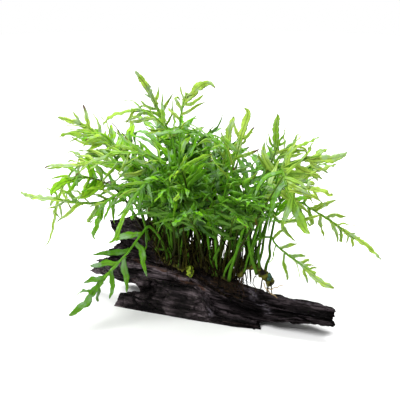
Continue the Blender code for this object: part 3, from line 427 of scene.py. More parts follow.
# Kinds of leaflet: rows of points along it, the share that curls up, the most by which one is longer
# than planned, how far it twists and droops, and whether it has lobes and, on most, a dry tip
OUTER_LEAFLET = dict(rows=27, curled=0.09, longer=0.15, turned=0.9, lobed=False)
INNER_LEAFLET = dict(rows=27, curled=0.04, longer=0.28, turned=0.55, lobed=False)
END_LEAFLET = dict(rows=41, curled=0.0, longer=0.06, turned=0.45, lobed=True)
YOUNG_LEAFLET = dict(rows=14, curled=0.04, longer=0.25, turned=0.6, lobed=False)
YOUNG_END_LEAFLET = dict(rows=19, curled=0.0, longer=0.1, turned=0.45, lobed=True)


def leaf_courses(start, middle, tip, edge, face, t, pick, curled, longer, turned):
    """Centre lines of leaflets, and the directions ahead, across the blade and out of it.

    A line is the quadratic curve from start through middle to tip, stretched a little, with a
    sideways sway and a slow wave. Past 0.4 of it each step is turned about the blade's width by an
    angle that grows with the distance: a droop on most leaflets, a curl on a few. The blade twists
    about the line, more towards the tip.
    """
    stretch = pick(1.0, 1.0 + longer)
    length = stretch * np.linalg.norm(tip - start, axis=1)[:, None, None]
    m = MIDDLE_AT
    bend = (middle - (1 - m) ** 2 * start - m ** 2 * tip) / (2 * m * (1 - m))
    line = (1 - t) ** 2 * start[:, None] + 2 * t * (1 - t) * bend[:, None] + t ** 2 * tip[:, None]
    line = start[:, None] + stretch * (line - start[:, None])
    x0, y0 = unit(edge)[:, None], unit(face)[:, None]
    sway = pick(-0.10, 0.10) * np.sin(math.pi * t) + pick(-0.045, 0.045) * np.sin(2 * math.pi * t)
    line = line + x0 * length * sway
    wave = pick(-0.045, 0.045) * np.sin(2 * math.pi * (pick(0.8, 1.5) * t + pick(0, 1))) * t
    line = line + y0 * length * wave
    step = np.diff(line, axis=1)
    size = np.linalg.norm(step, axis=-1, keepdims=True)
    curl = pick(-0.35, 0.35 + 0.60 * turned) + np.where(pick(0, 1) < curled, pick(1.3, 2.9), 0.0)
    angle = (curl * np.clip((t - 0.40) / 0.60, 0, 1) ** 1.3)[:, 1:]
    step = np.cos(angle) * step - np.sin(angle) * size * square_to(y0, step / size)
    line = np.concatenate([line[:, :1], line[:, :1] + np.cumsum(step, axis=1)], axis=1)
    ahead = unit(np.gradient(line, axis=1))
    x0 = square_to(x0, ahead)
    y0 = np.cross(x0, ahead)
    y0 = y0 * np.sign(np.sum(y0[:, :1] * face[:, None], axis=-1, keepdims=True))
    twist = turned * (pick(-0.8, 0.8) + pick(-1.3, 1.3) * t ** 1.5)
    x = np.cos(twist) * x0 + np.sin(twist) * y0
    y = np.cos(twist) * y0 - np.sin(twist) * x0
    return line, ahead, x, y, length


def leaf_widths(half, t, s, side, length, pick, lobed):
    """Half widths along leaflets: the leaf outline (narrow foot, nearly even sides, pointed tip) times
    one minus shallow scallops, |sin| to the power 0.6, that lean forward, with a slow wave. A lobed
    leaflet is cut deeper near its foot. The foot widens where it joins the midrib."""
    outline = (0.42 + 0.58 * smooth(t, 0.0, 0.34)) * np.clip(1.0 - t ** pick(1.7, 2.9), 0, 1) ** 0.90
    phase = pick(0, 1) + side * pick(0.3, 0.7)
    run = t * length / TEETH_SPACING * pick(0.7, 1.1) + phase + 0.5 * np.sin(9.0 * t + 7.0 * phase)
    scallop = 1.0 - np.abs(np.sin(math.pi * (run + 0.12 * np.sin(2 * math.pi * run)))) ** 0.6
    slow = np.sin(2 * math.pi * (t * pick(1.0, 2.2) + phase))
    slow = slow + 0.7 * np.sin(2 * math.pi * (t * pick(2.5, 4.0) - phase))
    width = half * outline * (1.0 - pick(0.16, 0.46) * scallop * smooth(t, 0.06, 0.22) + 0.14 * slow)
    if lobed:
        notch = 1.0 - np.abs(np.sin(math.pi * (t * length / 8.0 * pick(0.8, 1.1) + 0.5 * side))) ** 0.8
        near = 1.0 - smooth(t, 0.25, 0.70)
        width = width * (1.0 - 0.55 * notch * near) * (1.0 + 0.22 * near)
    return width + 0.8 * np.exp(-t / 0.05) * (1.0 + 0.8 * (s < 0)) + 0.20 * smooth(1.0 - t, 0.0, 0.03)


def leaf_blades(start, middle, tip, edge, face, tone, chance, rows, curled, longer, turned, lobed):
    """Several leaflets at once: the leaf section, times the half width, round each centre line. The
    blade folds along its midrib, waves at its margins and thins a little towards its tip. Its values
    give the place across and along it, its tone, its dry tip and its underside."""
    t = np.linspace(0.0, 1.0, rows)[None, :, None]
    s, face_side = LEAF_SECTION[None, None, :, 0], LEAF_SECTION[None, None, :, 1]
    side = np.where(s < 0, 0.0, 1.0)
    pick = picker(chance, len(start))
    line, ahead, x, y, length = leaf_courses(start, middle, tip, edge, face, t, pick, curled, longer, turned)
    half = 0.5 * np.linalg.norm(edge, axis=1)[:, None, None] * pick(0.78, 1.08)
    width = leaf_widths(half, t, s, side, length, pick, lobed)
    wave = np.sin(2 * math.pi * (t * length / pick(6.0, 9.0) + pick(0, 1)) + 1.6 * side)
    lift = s ** 2 * (pick(0.2, 0.9) * wave * smooth(t, 0.1, 0.4) * np.minimum(1.0, width / 1.4))
    thick = HALF_THICKNESS * np.sqrt(np.clip(1.0 - s ** 2, 0.0, 1.0)) * face_side * (1.0 - 0.2 * t)
    rib = np.where(np.abs(s) < 0.2, -0.22, 0.0) * (1.0 - t)
    rise = pick(-0.15, 0.42) * np.abs(s) * width + lift + thick + rib
    rings = line[:, :, None] + x[:, :, None] * (s * width)[..., None] + y[:, :, None] * rise[..., None]

    dry = np.where(pick(0, 1) < (0.55 if lobed else 0.13), pick(0.02, 0.09), 0.0)
    dry = np.where(pick(0, 1) < 0.025, pick(0.15, 0.35), dry)
    tone = tone[:, None, None] + pick(-0.10, 0.10) + 0.16 * t
    values = marks(rings.shape[:3], across=np.abs(s) * width, along=t * length, tone=np.clip(tone, 0.0, 1.0),
                   dry=smooth(t, 1.0 - 1.6 * dry - 1e-4, 1.0 - 0.5 * dry) * (dry > 0),
                   under=(face_side < 0) * 1.0, speck=pick(0, 1))
    return rings, line[:, 0] - ahead[:, 0] * 0.3, line[:, -1] + ahead[:, -1] * 0.25, values


def winged_midrib(centres, face, first, chance, tone):
    """The green wing along both sides of the midrib: half width grows from the first leaflets to the
    tip, with shallow scallops, in the plane of the blade."""
    rows = 46
    run = np.linspace(0.0, 1.0, rows)[:, None]
    course = curve_through(np.concatenate([centres[first:], face[first:]], axis=1), rows)
    line = course[:, :3]
    ahead = unit(np.gradient(line, axis=0))
    up = square_to(course[:, 3:], ahead)
    out = np.cross(ahead, up)
    s, face_side = LEAF_SECTION[None, :, 0], LEAF_SECTION[None, :, 1]
    phase = chance.uniform(0, 1)
    length = np.linalg.norm(np.diff(line, axis=0), axis=1).sum()
    scallop = np.abs(np.sin(math.pi * (run * length / 6.5 + phase + 0.5 * (s > 0))))
    width = (0.30 + 1.25 * run) * (0.62 + 0.5 * scallop) * smooth(run, -0.02, 0.10) + 0.15
    thick = 0.16 * np.sqrt(np.clip(1.0 - s ** 2, 0.0, 1.0)) * face_side
    rise = thick + 0.22 * np.abs(s) * width * chance.uniform(-0.4, 1.0)
    rings = line[:, None] + out[:, None] * (s * width)[..., None] + up[:, None] * rise[..., None]
    values = marks((1,) + rings.shape[:2], across=np.abs(s) * width, along=run[None] * length, tone=tone,
                   under=(face_side[None] < 0) * 1.0, speck=0.5)
    return rings[None], line[:1], line[-1:], values


def ring_faces(centres, leaves):
    """The blade's upper direction at every ring, from the leaflets' ridges on either side of it."""
    rows = np.arange(len(centres))
    knots = np.array([0.5 * (leaf[0] + leaf[1]) for leaf in leaves])
    faces = unit(np.array([leaf[6] for leaf in leaves]))
    near = np.exp(-0.5 * ((rows[:, None] - knots[None]) / 1.2) ** 2) + 1e-6
    return unit(near @ faces)


def add_tubes(skin, course, radius, sides, **named):
    """Round sleeves along their courses, closed at both ends, with the named values."""
    rings = round_rings(course, radius, sides)
    skin.add(rings, course[:, 0], course[:, -1], marks(rings.shape[:3], **named))


def with_partners(leaves, centres, chance, share, lowest):
    """The leaflets, and between them some more: a share of their mirror images across the midrib, a
    little further along, turned and shortened by chance. None stands below the lowest height."""
    start, middle, tip, edge, ridge = (np.array([leaf[i] for leaf in leaves]) for i in range(2, 7))
    ahead = unit(np.gradient(centres, axis=0))[[leaf[0] for leaf in leaves]]
    face = unit(ridge)
    side = unit(np.cross(ahead, face))
    count = len(start)
    kept = (chance.uniform(0.0, 1.0, count) < share) & (middle[:, 2] > lowest)

    def mirrored(v):
        """v minus twice its part across the midrib."""
        return v - 2.0 * side * np.sum(v * side, axis=1, keepdims=True)

    shift = ahead * chance.uniform(-1.5, 3.5, (count, 1))
    scale = chance.uniform(0.55, 1.02, (count, 1))
    tilt = face * chance.uniform(-0.30, 0.20, (count, 1))
    tilt = tilt * np.linalg.norm(tip - start, axis=1, keepdims=True)
    partners = (start + shift, start + shift + scale * (mirrored(middle - start) + 0.4 * tilt),
                start + shift + scale * (mirrored(tip - start) + tilt),
                mirrored(edge) * (0.5 + 0.5 * scale), mirrored(ridge))
    return [np.concatenate([first, second[kept]])
            for first, second in zip((start, middle, tip, edge, ridge), partners)]


def leaf_tone(tip, bright, chance):
    """Greens get yellower outward and upward from the tuft's foot, partly the younger leaves' own colour
    and partly painted light on leaves in the open, and deeper low in its middle, which is painted shade
    inside the tuft.
    """
    reach = np.linalg.norm((tip - np.array([12.0, 0.0, 45.0])) / np.array([112.0, 95.0, 118.0]), axis=1)
    # Painted shade: leaflets low in the middle of the tuft get a deeper green
    low = (1.0 - smooth(tip[:, 2], 92.0, 128.0)) * (1.0 - smooth(np.abs(tip[:, 0] - 12.0), 42.0, 72.0))
    by_chance = chance.uniform(-0.34, 0.34, len(tip))
    return np.clip(bright + 1.05 * (reach - 0.70) - 0.40 * low + by_chance, 0.0, 1.0)


# A stalk's radius, as a share of how far its solid's corners stand from their centre
STALK_SHARE = 0.828


def fern_frond(node, look, chance, bright, partners, wide, end_wide, outer):
    """One frond: a round stalk that thins to a midrib, its wing, its leaflets and its end leaflet.
    Leaflet widths are the part's times wide, and the end leaflet's times end_wide. On the inner
    fronds the low leaflets are narrower, and the added ones stand high."""
    centres, radii, leaves = frond_course(node)
    skin = Skin()
    sides = [leaf for leaf in leaves if leaf[0] != leaf[1]]
    start, middle, tip, edge, ridge = with_partners(sides, centres, chance, partners, 0.0 if outer else 80.0)
    if not outer:
        edge = edge * (0.40 + 0.60 * smooth(middle[:, 2:], 62.0, 88.0))
    skin.add(*leaf_blades(start, middle, tip, wide * edge, ridge, leaf_tone(tip, bright, chance), chance,
                          **(OUTER_LEAFLET if outer else INNER_LEAFLET)))
    end_leaflet = [leaf for leaf in leaves if leaf[0] == leaf[1]][0]
    middle, tip, edge, ridge = (np.array([value]) for value in end_leaflet[3:])
    tone = leaf_tone(tip, bright, chance)
    skin.add(*leaf_blades(centres[-3:-2], middle, tip, end_wide * edge, ridge, tone, chance, **END_LEAFLET))
    first = max(2, min(leaf[0] for leaf in leaves))
    skin.add(*winged_midrib(centres, ring_faces(centres, leaves), first, chance, float(tone[0])))
    front = smooth(-centres[0] @ ACROSS, 4.0, 9.0) if outer else 0.0
    front = max(front, 0.72 * smooth(centres[0] @ ALONG, 42.0, 52.0))
    add_stalk(skin, centres, STALK_SHARE * radii, 56, tone[0], chance, first / (len(centres) - 1.0), front)
    piece("fern_" + node, skin, look, [node])


def add_stalk(skin, centres, radii, rows, tone, chance, bare=0.0, fresh=0.0):
    """A round stalk along its centres, a little swollen at its foot and thin towards its end. Its bare
    share sways to and fro. A fresh stalk is bright green, an old one dark olive."""
    course = curve_through(np.column_stack([centres, radii]), rows)
    run = np.linspace(0.0, 1.0, rows)
    radius = course[:, 3] * (1.15 - 0.15 * smooth(run, 0.0, 0.12)) * (1.0 - 0.25 * smooth(run, 0.5, 1.0))
    line = course[None, :, :3]
    if bare > 0.0:
        x = np.clip(run / bare, 0.0, 1.0)
        sway = np.sin(math.pi * x) ** 2 * (1.0 + 0.8 * np.sin(2 * math.pi * x + chance.uniform(0, 6)))
        line = line + sway[:, None] * np.array([*chance.normal(0.0, 0.9, 2), 0.0])
    run = run[None, :, None]
    add_tubes(skin, line, radius[None], 8, stalk=1.0, share=run, tone=tone, along=run * 100.0,
              speck=max(fresh, chance.uniform(0, 0.8)))


# A young frond's rows of points
YOUNG_ROWS = 30
# Of the places along each rhizome's course, the last one where a stalk stands: the right one's end is bare
CROWN_PLACES = 110
LAST_STALK = (107, 52, 107)


def feet_along(crowns, shares, count, chance, spread):
    """Places on the rhizomes, chosen by chance, and moved a little to the sides."""
    found = []
    for number in chance.choice(len(crowns), count, p=shares):
        place = crowns[number][chance.randint(3, LAST_STALK[number])]
        found.append(place + np.array([*chance.uniform(-spread, spread, 2), 0.0]))
    return np.array(found)[:, None]


def young_fronds(crowns, count, chance):
    """Small fronds between the tall ones: each course rises from a rhizome, leans out by its heading
    and levels off. Leaflets stand on alternate sides of its upper part, shorter towards its end."""
    skin = Skin()
    for _ in range(count):
        foot = feet_along(crowns, (0.66, 0.18, 0.16), 1, chance, 3.5)[0, 0]
        height = chance.uniform(30, 84)
        heading = math.pi / 2 - LOG_ANGLE + chance.uniform(-1, 1) * (1.7 if height < 64 else math.pi)
        out = np.array([math.cos(heading), math.sin(heading), 0.0])
        lean, droop = chance.uniform(0.20, 0.75), chance.uniform(-0.1, 0.5)
        bow = np.cross(out, UP) * chance.uniform(-0.15, 0.15)
        knots = foot + height * np.array([
            0.0 * UP, 0.42 * UP + 0.16 * lean * out, 0.80 * UP + 0.50 * lean * out + bow,
            (1.0 - droop * lean) * UP + 1.05 * lean * out + 2 * bow])
        course = curve_through(knots, YOUNG_ROWS)
        ahead = unit(np.gradient(course, axis=0))
        number = chance.randint(6, 11)
        bare = max(0.36, min(0.70, 24.0 / height))
        row = (np.linspace(bare, 0.93, number) * (YOUNG_ROWS - 1)).astype(int)
        turn = chance.uniform(-0.9, 0.9)
        face = square_to(unit(UP + 0.6 * out * chance.uniform(-1, 1) - 0.5 * ACROSS), ahead[row])
        across = np.cross(ahead[row], face)
        face, across = (math.cos(turn) * face + math.sin(turn) * across,
                        math.cos(turn) * across - math.sin(turn) * face)
        sign = np.where(np.arange(number) % 2, 1.0, -1.0)[:, None]
        spread = chance.uniform(0.6, 1.1, (number, 1))
        reach = chance.uniform(0.75, 1.15, (number, 1)) * min(19.0, 0.34 * height)
        reach = reach * (1.0 - 0.55 * np.linspace(0, 1, number)[:, None] ** 2)
        rise = chance.uniform(-0.4, 0.2, (number, 1))
        way = unit(across * sign * np.sin(spread) + ahead[row] * np.cos(spread) + face * rise)
        start = course[row]
        tip = start + way * reach - UP * 0.12 * reach
        middle = start + way * 0.48 * reach + face * 0.05 * reach
        edge = square_to(ahead[row], way) * (0.18 * reach + 0.7)
        # Higher leaflets are lighter: partly their own colour and partly painted light on the top of the tuft
        tone = np.clip(chance.uniform(-0.1, 0.35) + 0.2 * (tip[:, 2] - 90) / 60, 0, 1)
        skin.add(*leaf_blades(start, middle, tip, edge, face, tone, chance, **YOUNG_LEAFLET))
        last = course[-6:-5]
        end = course[-1] + ahead[-1] * 0.3 * reach.mean()
        skin.add(*leaf_blades(last, 0.5 * (last + end) + face[-1:] * 0.3, end[None] + ahead[-1:] * 5.0,
                              across[-1:] * 3.4, face[-1:], tone[-1:], chance, **YOUNG_END_LEAFLET))
        add_stalk(skin, course, np.linspace(0.80, 0.38, YOUNG_ROWS), 22, chance.uniform(0.0, 0.5), chance)
    return skin


def old_stalks(crowns, count, chance):
    """Thin dark stalks and wiry roots that stand between the living stalks. Each rises by its height,
    leans out by its heading, bows to a side and tapers."""
    t = np.linspace(0.0, 1.0, 13)[None, :, None]
    pick = picker(chance, count)
    foot = feet_along(crowns, (0.80, 0.06, 0.14), count, chance, 6.5)
    heading = pick(0, 2 * math.pi)
    out = np.concatenate([np.cos(heading), np.sin(heading), 0.0 * heading], axis=-1)
    height = 8.0 + 34.0 * pick(0, 1) ** 1.4
    lean = pick(0.0, 1.1) * np.minimum(1.0, 13.0 / height)
    bow = np.cross(out, UP) * pick(-0.12, 0.12) * np.sin(pick(2, 6) * t)
    course = foot + height * (UP * (t - 0.3 * lean * t ** 2) + out * lean * (0.45 * t + 0.55 * t ** 2) + bow)
    skin = Skin()
    add_tubes(skin, course, (pick(0.25, 0.70) * (1.0 - 0.5 * t))[..., 0], 5, tone=pick(0.0, 0.7))
    return skin


# Thick stalks in front of the tuft's foot: places as along, across and height, the radius, and how fresh
FRONT_STALKS = (
    (((7.4, -12.5, 37), (5.8, -14.5, 46), (5.3, -14.5, 58), (7.0, -13.0, 76)), 1.15, 1.0),
    (((24.5, -11.5, 32), (24.0, -12.8, 42), (21.8, -13.0, 53), (19.0, -12.0, 72)), 1.10, 1.0),
    (((27.3, -11.5, 32), (27.4, -12.8, 43), (27.2, -12.8, 54), (26.0, -12.0, 72)), 1.05, 0.9),
    (((36.4, -10.0, 29), (38.5, -12.0, 38), (43.5, -12.5, 54), (50.5, -12.0, 80)), 1.30, 1.0),
    (((32.0, -10.0, 31), (35.5, -12.0, 40), (41.5, -12.0, 50), (49.0, -11.0, 64)), 0.95, 0.95),
    (((56.6, -6.5, 37), (53.4, -9.0, 50), (50.8, -9.0, 62), (48.4, -8.0, 79)), 1.30, 1.0),
    (((46.8, -7.5, 36), (50.8, -9.5, 49), (55.5, -9.5, 63), (60.5, -9.0, 81)), 0.75, 0.9),
    (((-20.9, -13.5, 43), (-18.6, -15.0, 49), (-14.4, -15.2, 61), (-11.0, -14.0, 71)), 0.95, 0.9),
    (((-22.0, -13.5, 45), (-17.0, -14.4, 46.4), (-10.7, -14.4, 45.6), (-4.0, -12.5, 43)), 1.05, 0.75),
    (((40.0, -10.0, 33), (49.0, -18.0, 59), (66.5, -26.0, 88), (87.0, -33.0, 121)), 0.80, 0.25),
    (((3.0, -10.0, 36), (-3.0, -13.0, 51), (-12.0, -14.0, 66), (-22.0, -13.0, 82)), 0.70, 0.45),
)


def front_stalks():
    """The thick stalks that stand in front of the tuft's foot. Each is a round tube through its own
    places that tapers by a quarter and swells a little at its foot."""
    skin = Skin()
    run = np.linspace(0.0, 1.0, 30)
    for places, radius, fresh in FRONT_STALKS:
        line = curve_through(to_world(np.array(places, float)), 30)[None]
        radii = radius * (1.0 - 0.25 * run) * (1.0 + 0.12 * np.exp(-run / 0.08))
        add_tubes(skin, line, radii[None], 10, stalk=1.0, share=0.75 * run[None, :, None], tone=0.4,
                  speck=fresh)
    return skin


def rootlets(crown, radius, count, chance, spread):
    """Courses and radii of thin roots that leave a rhizome to the sides and turn downward. A small
    spread makes them straight and thick."""
    t = np.linspace(0.0, 1.0, 10)[None, :, None]
    pick = picker(chance, count)
    at = chance.randint(4, len(crown) - 2, count)
    heading = pick(0, 2 * math.pi)
    out = np.concatenate([np.cos(heading), np.sin(heading), pick(-1.2, -0.2)], axis=-1)
    reach = pick(3.0, 13.0)
    course = crown[at][:, None] + 0.7 * radius * out
    course = course + reach * (out * pick(0.1, 0.7) * spread * t - UP * t ** 1.3)
    course = course + 0.5 * spread * np.sin(pick(2, 5) * t + pick(0, 6)) * np.cross(out, UP) * t
    course[..., 2] = np.maximum(course[..., 2], 1.0)
    return course, (pick(0.16, 0.38) * (2.1 - 1.1 * spread) * (1.0 - 0.4 * t))[..., 0]


# Wood

def wood_form(lines, stations, u, v, blur):
    """The wood's body at u along it and v round it, as (u, v, 3) of along, across and height. Each
    length line runs smoothly past its stations. Round the girth, a cubic with softened slopes passes
    through every line."""
    left = min(line[0] for line in lines)
    right = max(line[1] for line in lines)
    knots = []
    for first, last, across, height in lines:
        a = left + (right - left) * u + (first - left) * (1 - u) ** 3 + (last - right) * u ** 4
        shifts = np.linspace(-blur, blur, 9)[:, None]
        b = np.interp(a + shifts, stations, across).mean(axis=0)
        z = np.interp(a + shifts, stations, height).mean(axis=0)
        knots.append(np.stack([a, b, z], axis=-1))
    knots = np.array(knots)
    place = v * len(lines)
    i = np.floor(place).astype(int)
    t = (place - i)[:, None, None]
    p0, p1, p2, p3 = (knots[(i + k) % len(lines)] for k in (-1, 0, 1, 2))
    m1, m2 = 0.36 * (p2 - p0), 0.36 * (p3 - p1)
    body = ((2 * t ** 3 - 3 * t ** 2 + 1) * p1 + (t ** 3 - 2 * t ** 2 + t) * m1
            + (3 * t ** 2 - 2 * t ** 3) * p2 + (t ** 3 - t ** 2) * m2)
    return body.transpose(1, 0, 2)


def grid_normals(body):
    """Outward direction at each point of a closed body of rings."""
    du = np.gradient(body, axis=0)
    dv = np.roll(body, -1, axis=1) - np.roll(body, 1, axis=1)
    normal = unit(np.cross(du, dv))
    away = body - body.mean(axis=1, keepdims=True)
    return normal * np.sign((normal * away).sum())


def crack_depth(a, w, seed, length, spacing, width):
    """Grooves where slow noise passes zero: 1 at the bottom, 0 beyond the width."""
    field = fractal(grid3(a / length, w / spacing, seed * 1.7), seed, 2)
    return 1.0 - smooth(np.abs(field), 0.0, width)


def near_path(a, line, path, width, line_width):
    """1 on a path of (along, line) places, and e to the power of minus (distance / width) squared
    beside it."""
    closest = np.full(a.shape, 1e9)
    for (a0, line0), (a1, line1) in zip(path, path[1:]):
        along, across = a1 - a0, (line1 - line0) * line_width
        x, y = a - a0, (line - line0) * line_width
        share = np.clip((x * along + y * across) / (along ** 2 + across ** 2), 0.0, 1.0)
        closest = np.minimum(closest, (x - share * along) ** 2 + (y - share * across) ** 2)
    return np.exp(-closest / width ** 2)


def frayed(body, shift):
    """The same body with its across and height read a shifted distance along, for ragged breaks."""
    moved = body.copy()
    for j in range(body.shape[1]):
        a = body[:, j, 0]
        for axis in (1, 2):
            moved[:, j, axis] = np.interp(a + shift[:, j], a, body[:, j, axis])
    return moved


def worn_wood(lines, stations, rows, sides, seed, girth, blur, ragged, crumbly, features):
    """One length of weathered wood: the body, raised and cut along its outward direction by swellings,
    splinter layers and fibres that run with the log, long cracks, crumbly places and its own marks.

    The layers are noise, long with the log and narrow across it, turned to steps. crumbly holds
    amounts at places along the log.
    """
    u = np.linspace(0.0, 1.0, rows)
    v = np.linspace(0.0, 1.0, sides, endpoint=False)
    body = wood_form(lines, stations, u, v, blur)
    w = v[None, :] * girth
    a = body[..., 0]
    shift = 1.6 * fractal(grid3(a / 18.0, w / 4.5, seed), seed + 20, 2)
    body = frayed(body, shift * smooth(body[..., 2], 0.5, 4.0))
    tooth = fractal(grid3(0.0 * a, w / 6.5, seed), seed + 5, 4)
    tooth = np.sign(tooth) * np.abs(tooth) ** 0.75
    body[..., 0] += (ragged[0] * np.exp(-u * 24.0) + ragged[1] * np.exp(-(1.0 - u) * 34.0))[:, None] * tooth
    a = body[..., 0]
    normal = grid_normals(body)
    flow = w + 4.0 * noise(grid3(a / 34.0, w / 26.0, seed), seed + 1)
    swell = fractal(grid3(a / 26.0, w / 13.0, seed + 2.0), seed + 2, 3)
    fibre = fractal(grid3(a / 22.0, flow / 4.6, seed + 3.0), seed + 3, 3)
    fine = fractal(grid3(a / 7.0, flow / 2.0, seed + 4.0), seed + 4, 2)
    plank = fractal(grid3(a / 48.0, flow / 7.5, seed + 6.0), seed + 12, 2)
    layer = sum(smooth(plank, level - 0.05, level + 0.05) for level in (-0.6, -0.2, 0.2, 0.6)) - 2.0
    crack = crack_depth(a, flow, seed + 6, 46.0, 7.0, 0.11)
    crack = crack * smooth(noise(grid3(a / 24.0, w / 18.0, 9.0 + seed), seed + 7), -0.35, 0.25)
    hair = crack_depth(a, flow, seed + 8, 24.0, 3.6, 0.15)
    crumb = np.interp(a, *crumbly)
    clod = fractal(grid3(a / 3.6, w / 3.0, seed + 7.0), seed + 13, 3)
    block = crack_depth(a * 2.2, w, seed + 11, 8.0, 8.0, 0.18) * crumb
    raised = (0.90 * swell + 0.85 * layer + 0.52 * fibre + 0.28 * fine - 2.4 * crack - 1.0 * hair
              + 1.05 * crumb * clod - 1.2 * block)
    line = v[None, :] * len(lines)
    groove_shade = brown = pale = 0.0
    spots = fractal(grid3(a / 4.0, w / 3.0, 5.0), 91, 3)
    for path, width, height, groove_shade_share, brown_share, scar_and_highlight_share in features:
        near = near_path(a + 1.2 * spots, line + 0.10 * spots, path, width, girth / len(lines))
        raised = raised + height * near
        groove_shade = groove_shade + groove_shade_share * near
        brown = brown + brown_share * near
        pale = pale + scar_and_highlight_share * near
    free = smooth(body[..., 2], 0.1, 3.0)
    body = body + normal * (raised * (0.05 + 0.95 * free))[..., None]
    body[..., 2] = np.maximum(body[..., 2], 0.0)
    broken = smooth(spots, -0.55, 0.35)
    edge = smooth(layer + 0.6 * fibre + 0.4 * fine, 0.2, 1.9)
    # The first look is painted shade, near black in cracks, blocks and grooves; the last is the pale marks, a
    # grey scar and painted highlights
    looks = (np.clip(0.9 * crack + 0.65 * hair + 0.6 * block + groove_shade, 0, 1), edge * (1.0 - crack),
             np.clip(brown * broken, 0, 1), np.clip(pale * broken, 0, 1))
    return body, looks


def close_ends(body, depths, seed):
    """Rings that carry each end of the wood inward to a sunken, splintered middle."""
    share = np.linspace(0.0, 1.0, 16)[1:-1] ** 0.8
    found = []
    for rim, depth, sign in ((body[0], depths[0], 1.0), (body[-1], depths[1], -1.0)):
        centre = rim.mean(axis=0)
        rings = rim[None] + (centre - rim)[None] * share[:, None, None]
        splinter = fractal(rings[..., [1, 2, 2]] / np.array([1.6, 1.3, 50.0]), seed, 3)
        amount = np.sin(math.pi * share)[:, None]
        rings[..., 0] += sign * (depth * smooth(share, 0.0, 0.9)[:, None] + amount * (1.6 * splinter + 1.0))
        pole = centre.copy()
        pole[0] += sign * depth
        found.append((rings, pole))
    left, right = found
    rings = np.concatenate([left[0][::-1], body, right[0]])
    return rings, left[1], right[1]


def to_world(p):
    """Along, across and height to x, y and z."""
    return p[..., :1] * ALONG + p[..., 1:2] * ACROSS + p[..., 2:] * UP


def wood_piece(name, node, slot, look, depths, seed, **wear):
    """One length of worn wood with its sunken ends, turned by the log's angle. It returns the points
    of its surface."""
    body, looks = worn_wood(seed=seed, **wear)
    rings, left, right = close_ends(body, depths, seed)
    rings[..., 2] = np.maximum(rings[..., 2], 0.0)
    extra = (len(rings) - len(body)) // 2
    dark, edge, brown, pale = (np.pad(look, ((extra, extra), (0, 0)), "edge")[None] for look in looks)
    values = marks((1,) + rings.shape[:2], across=dark, along=edge, tone=brown, dry=pale)
    skin = Skin()
    skin.add(to_world(rings)[None], to_world(left)[None], to_world(right)[None], values)
    piece(name, skin, look, [node])
    return to_world(body)


class WoodTop:
    """A finished wood surface, to stand things on."""

    def __init__(self, body):
        self.body = body
        self.normal = grid_normals(body)

    def at(self, u, v, lift):
        """The surface's point at u and v, plus lift times its outward direction."""
        rows, sides = self.body.shape[:2]
        x = np.clip(u, 0.0, 1.0) * (rows - 1)
        y = (v % 1.0) * sides
        i = np.minimum(x.astype(int), rows - 2)
        j = y.astype(int) % sides
        fx, fy = (x - i)[..., None], (y - np.floor(y))[..., None]

        def blended(grid):
            """The grid's four nearest values, each by how near it is."""
            low = grid[i, j] * (1 - fy) + grid[i, (j + 1) % sides] * fy
            high = grid[i + 1, j] * (1 - fy) + grid[i + 1, (j + 1) % sides] * fy
            return low * (1 - fx) + high * fx

        return blended(self.body) + unit(blended(self.normal)) * lift[..., None]


# Materials

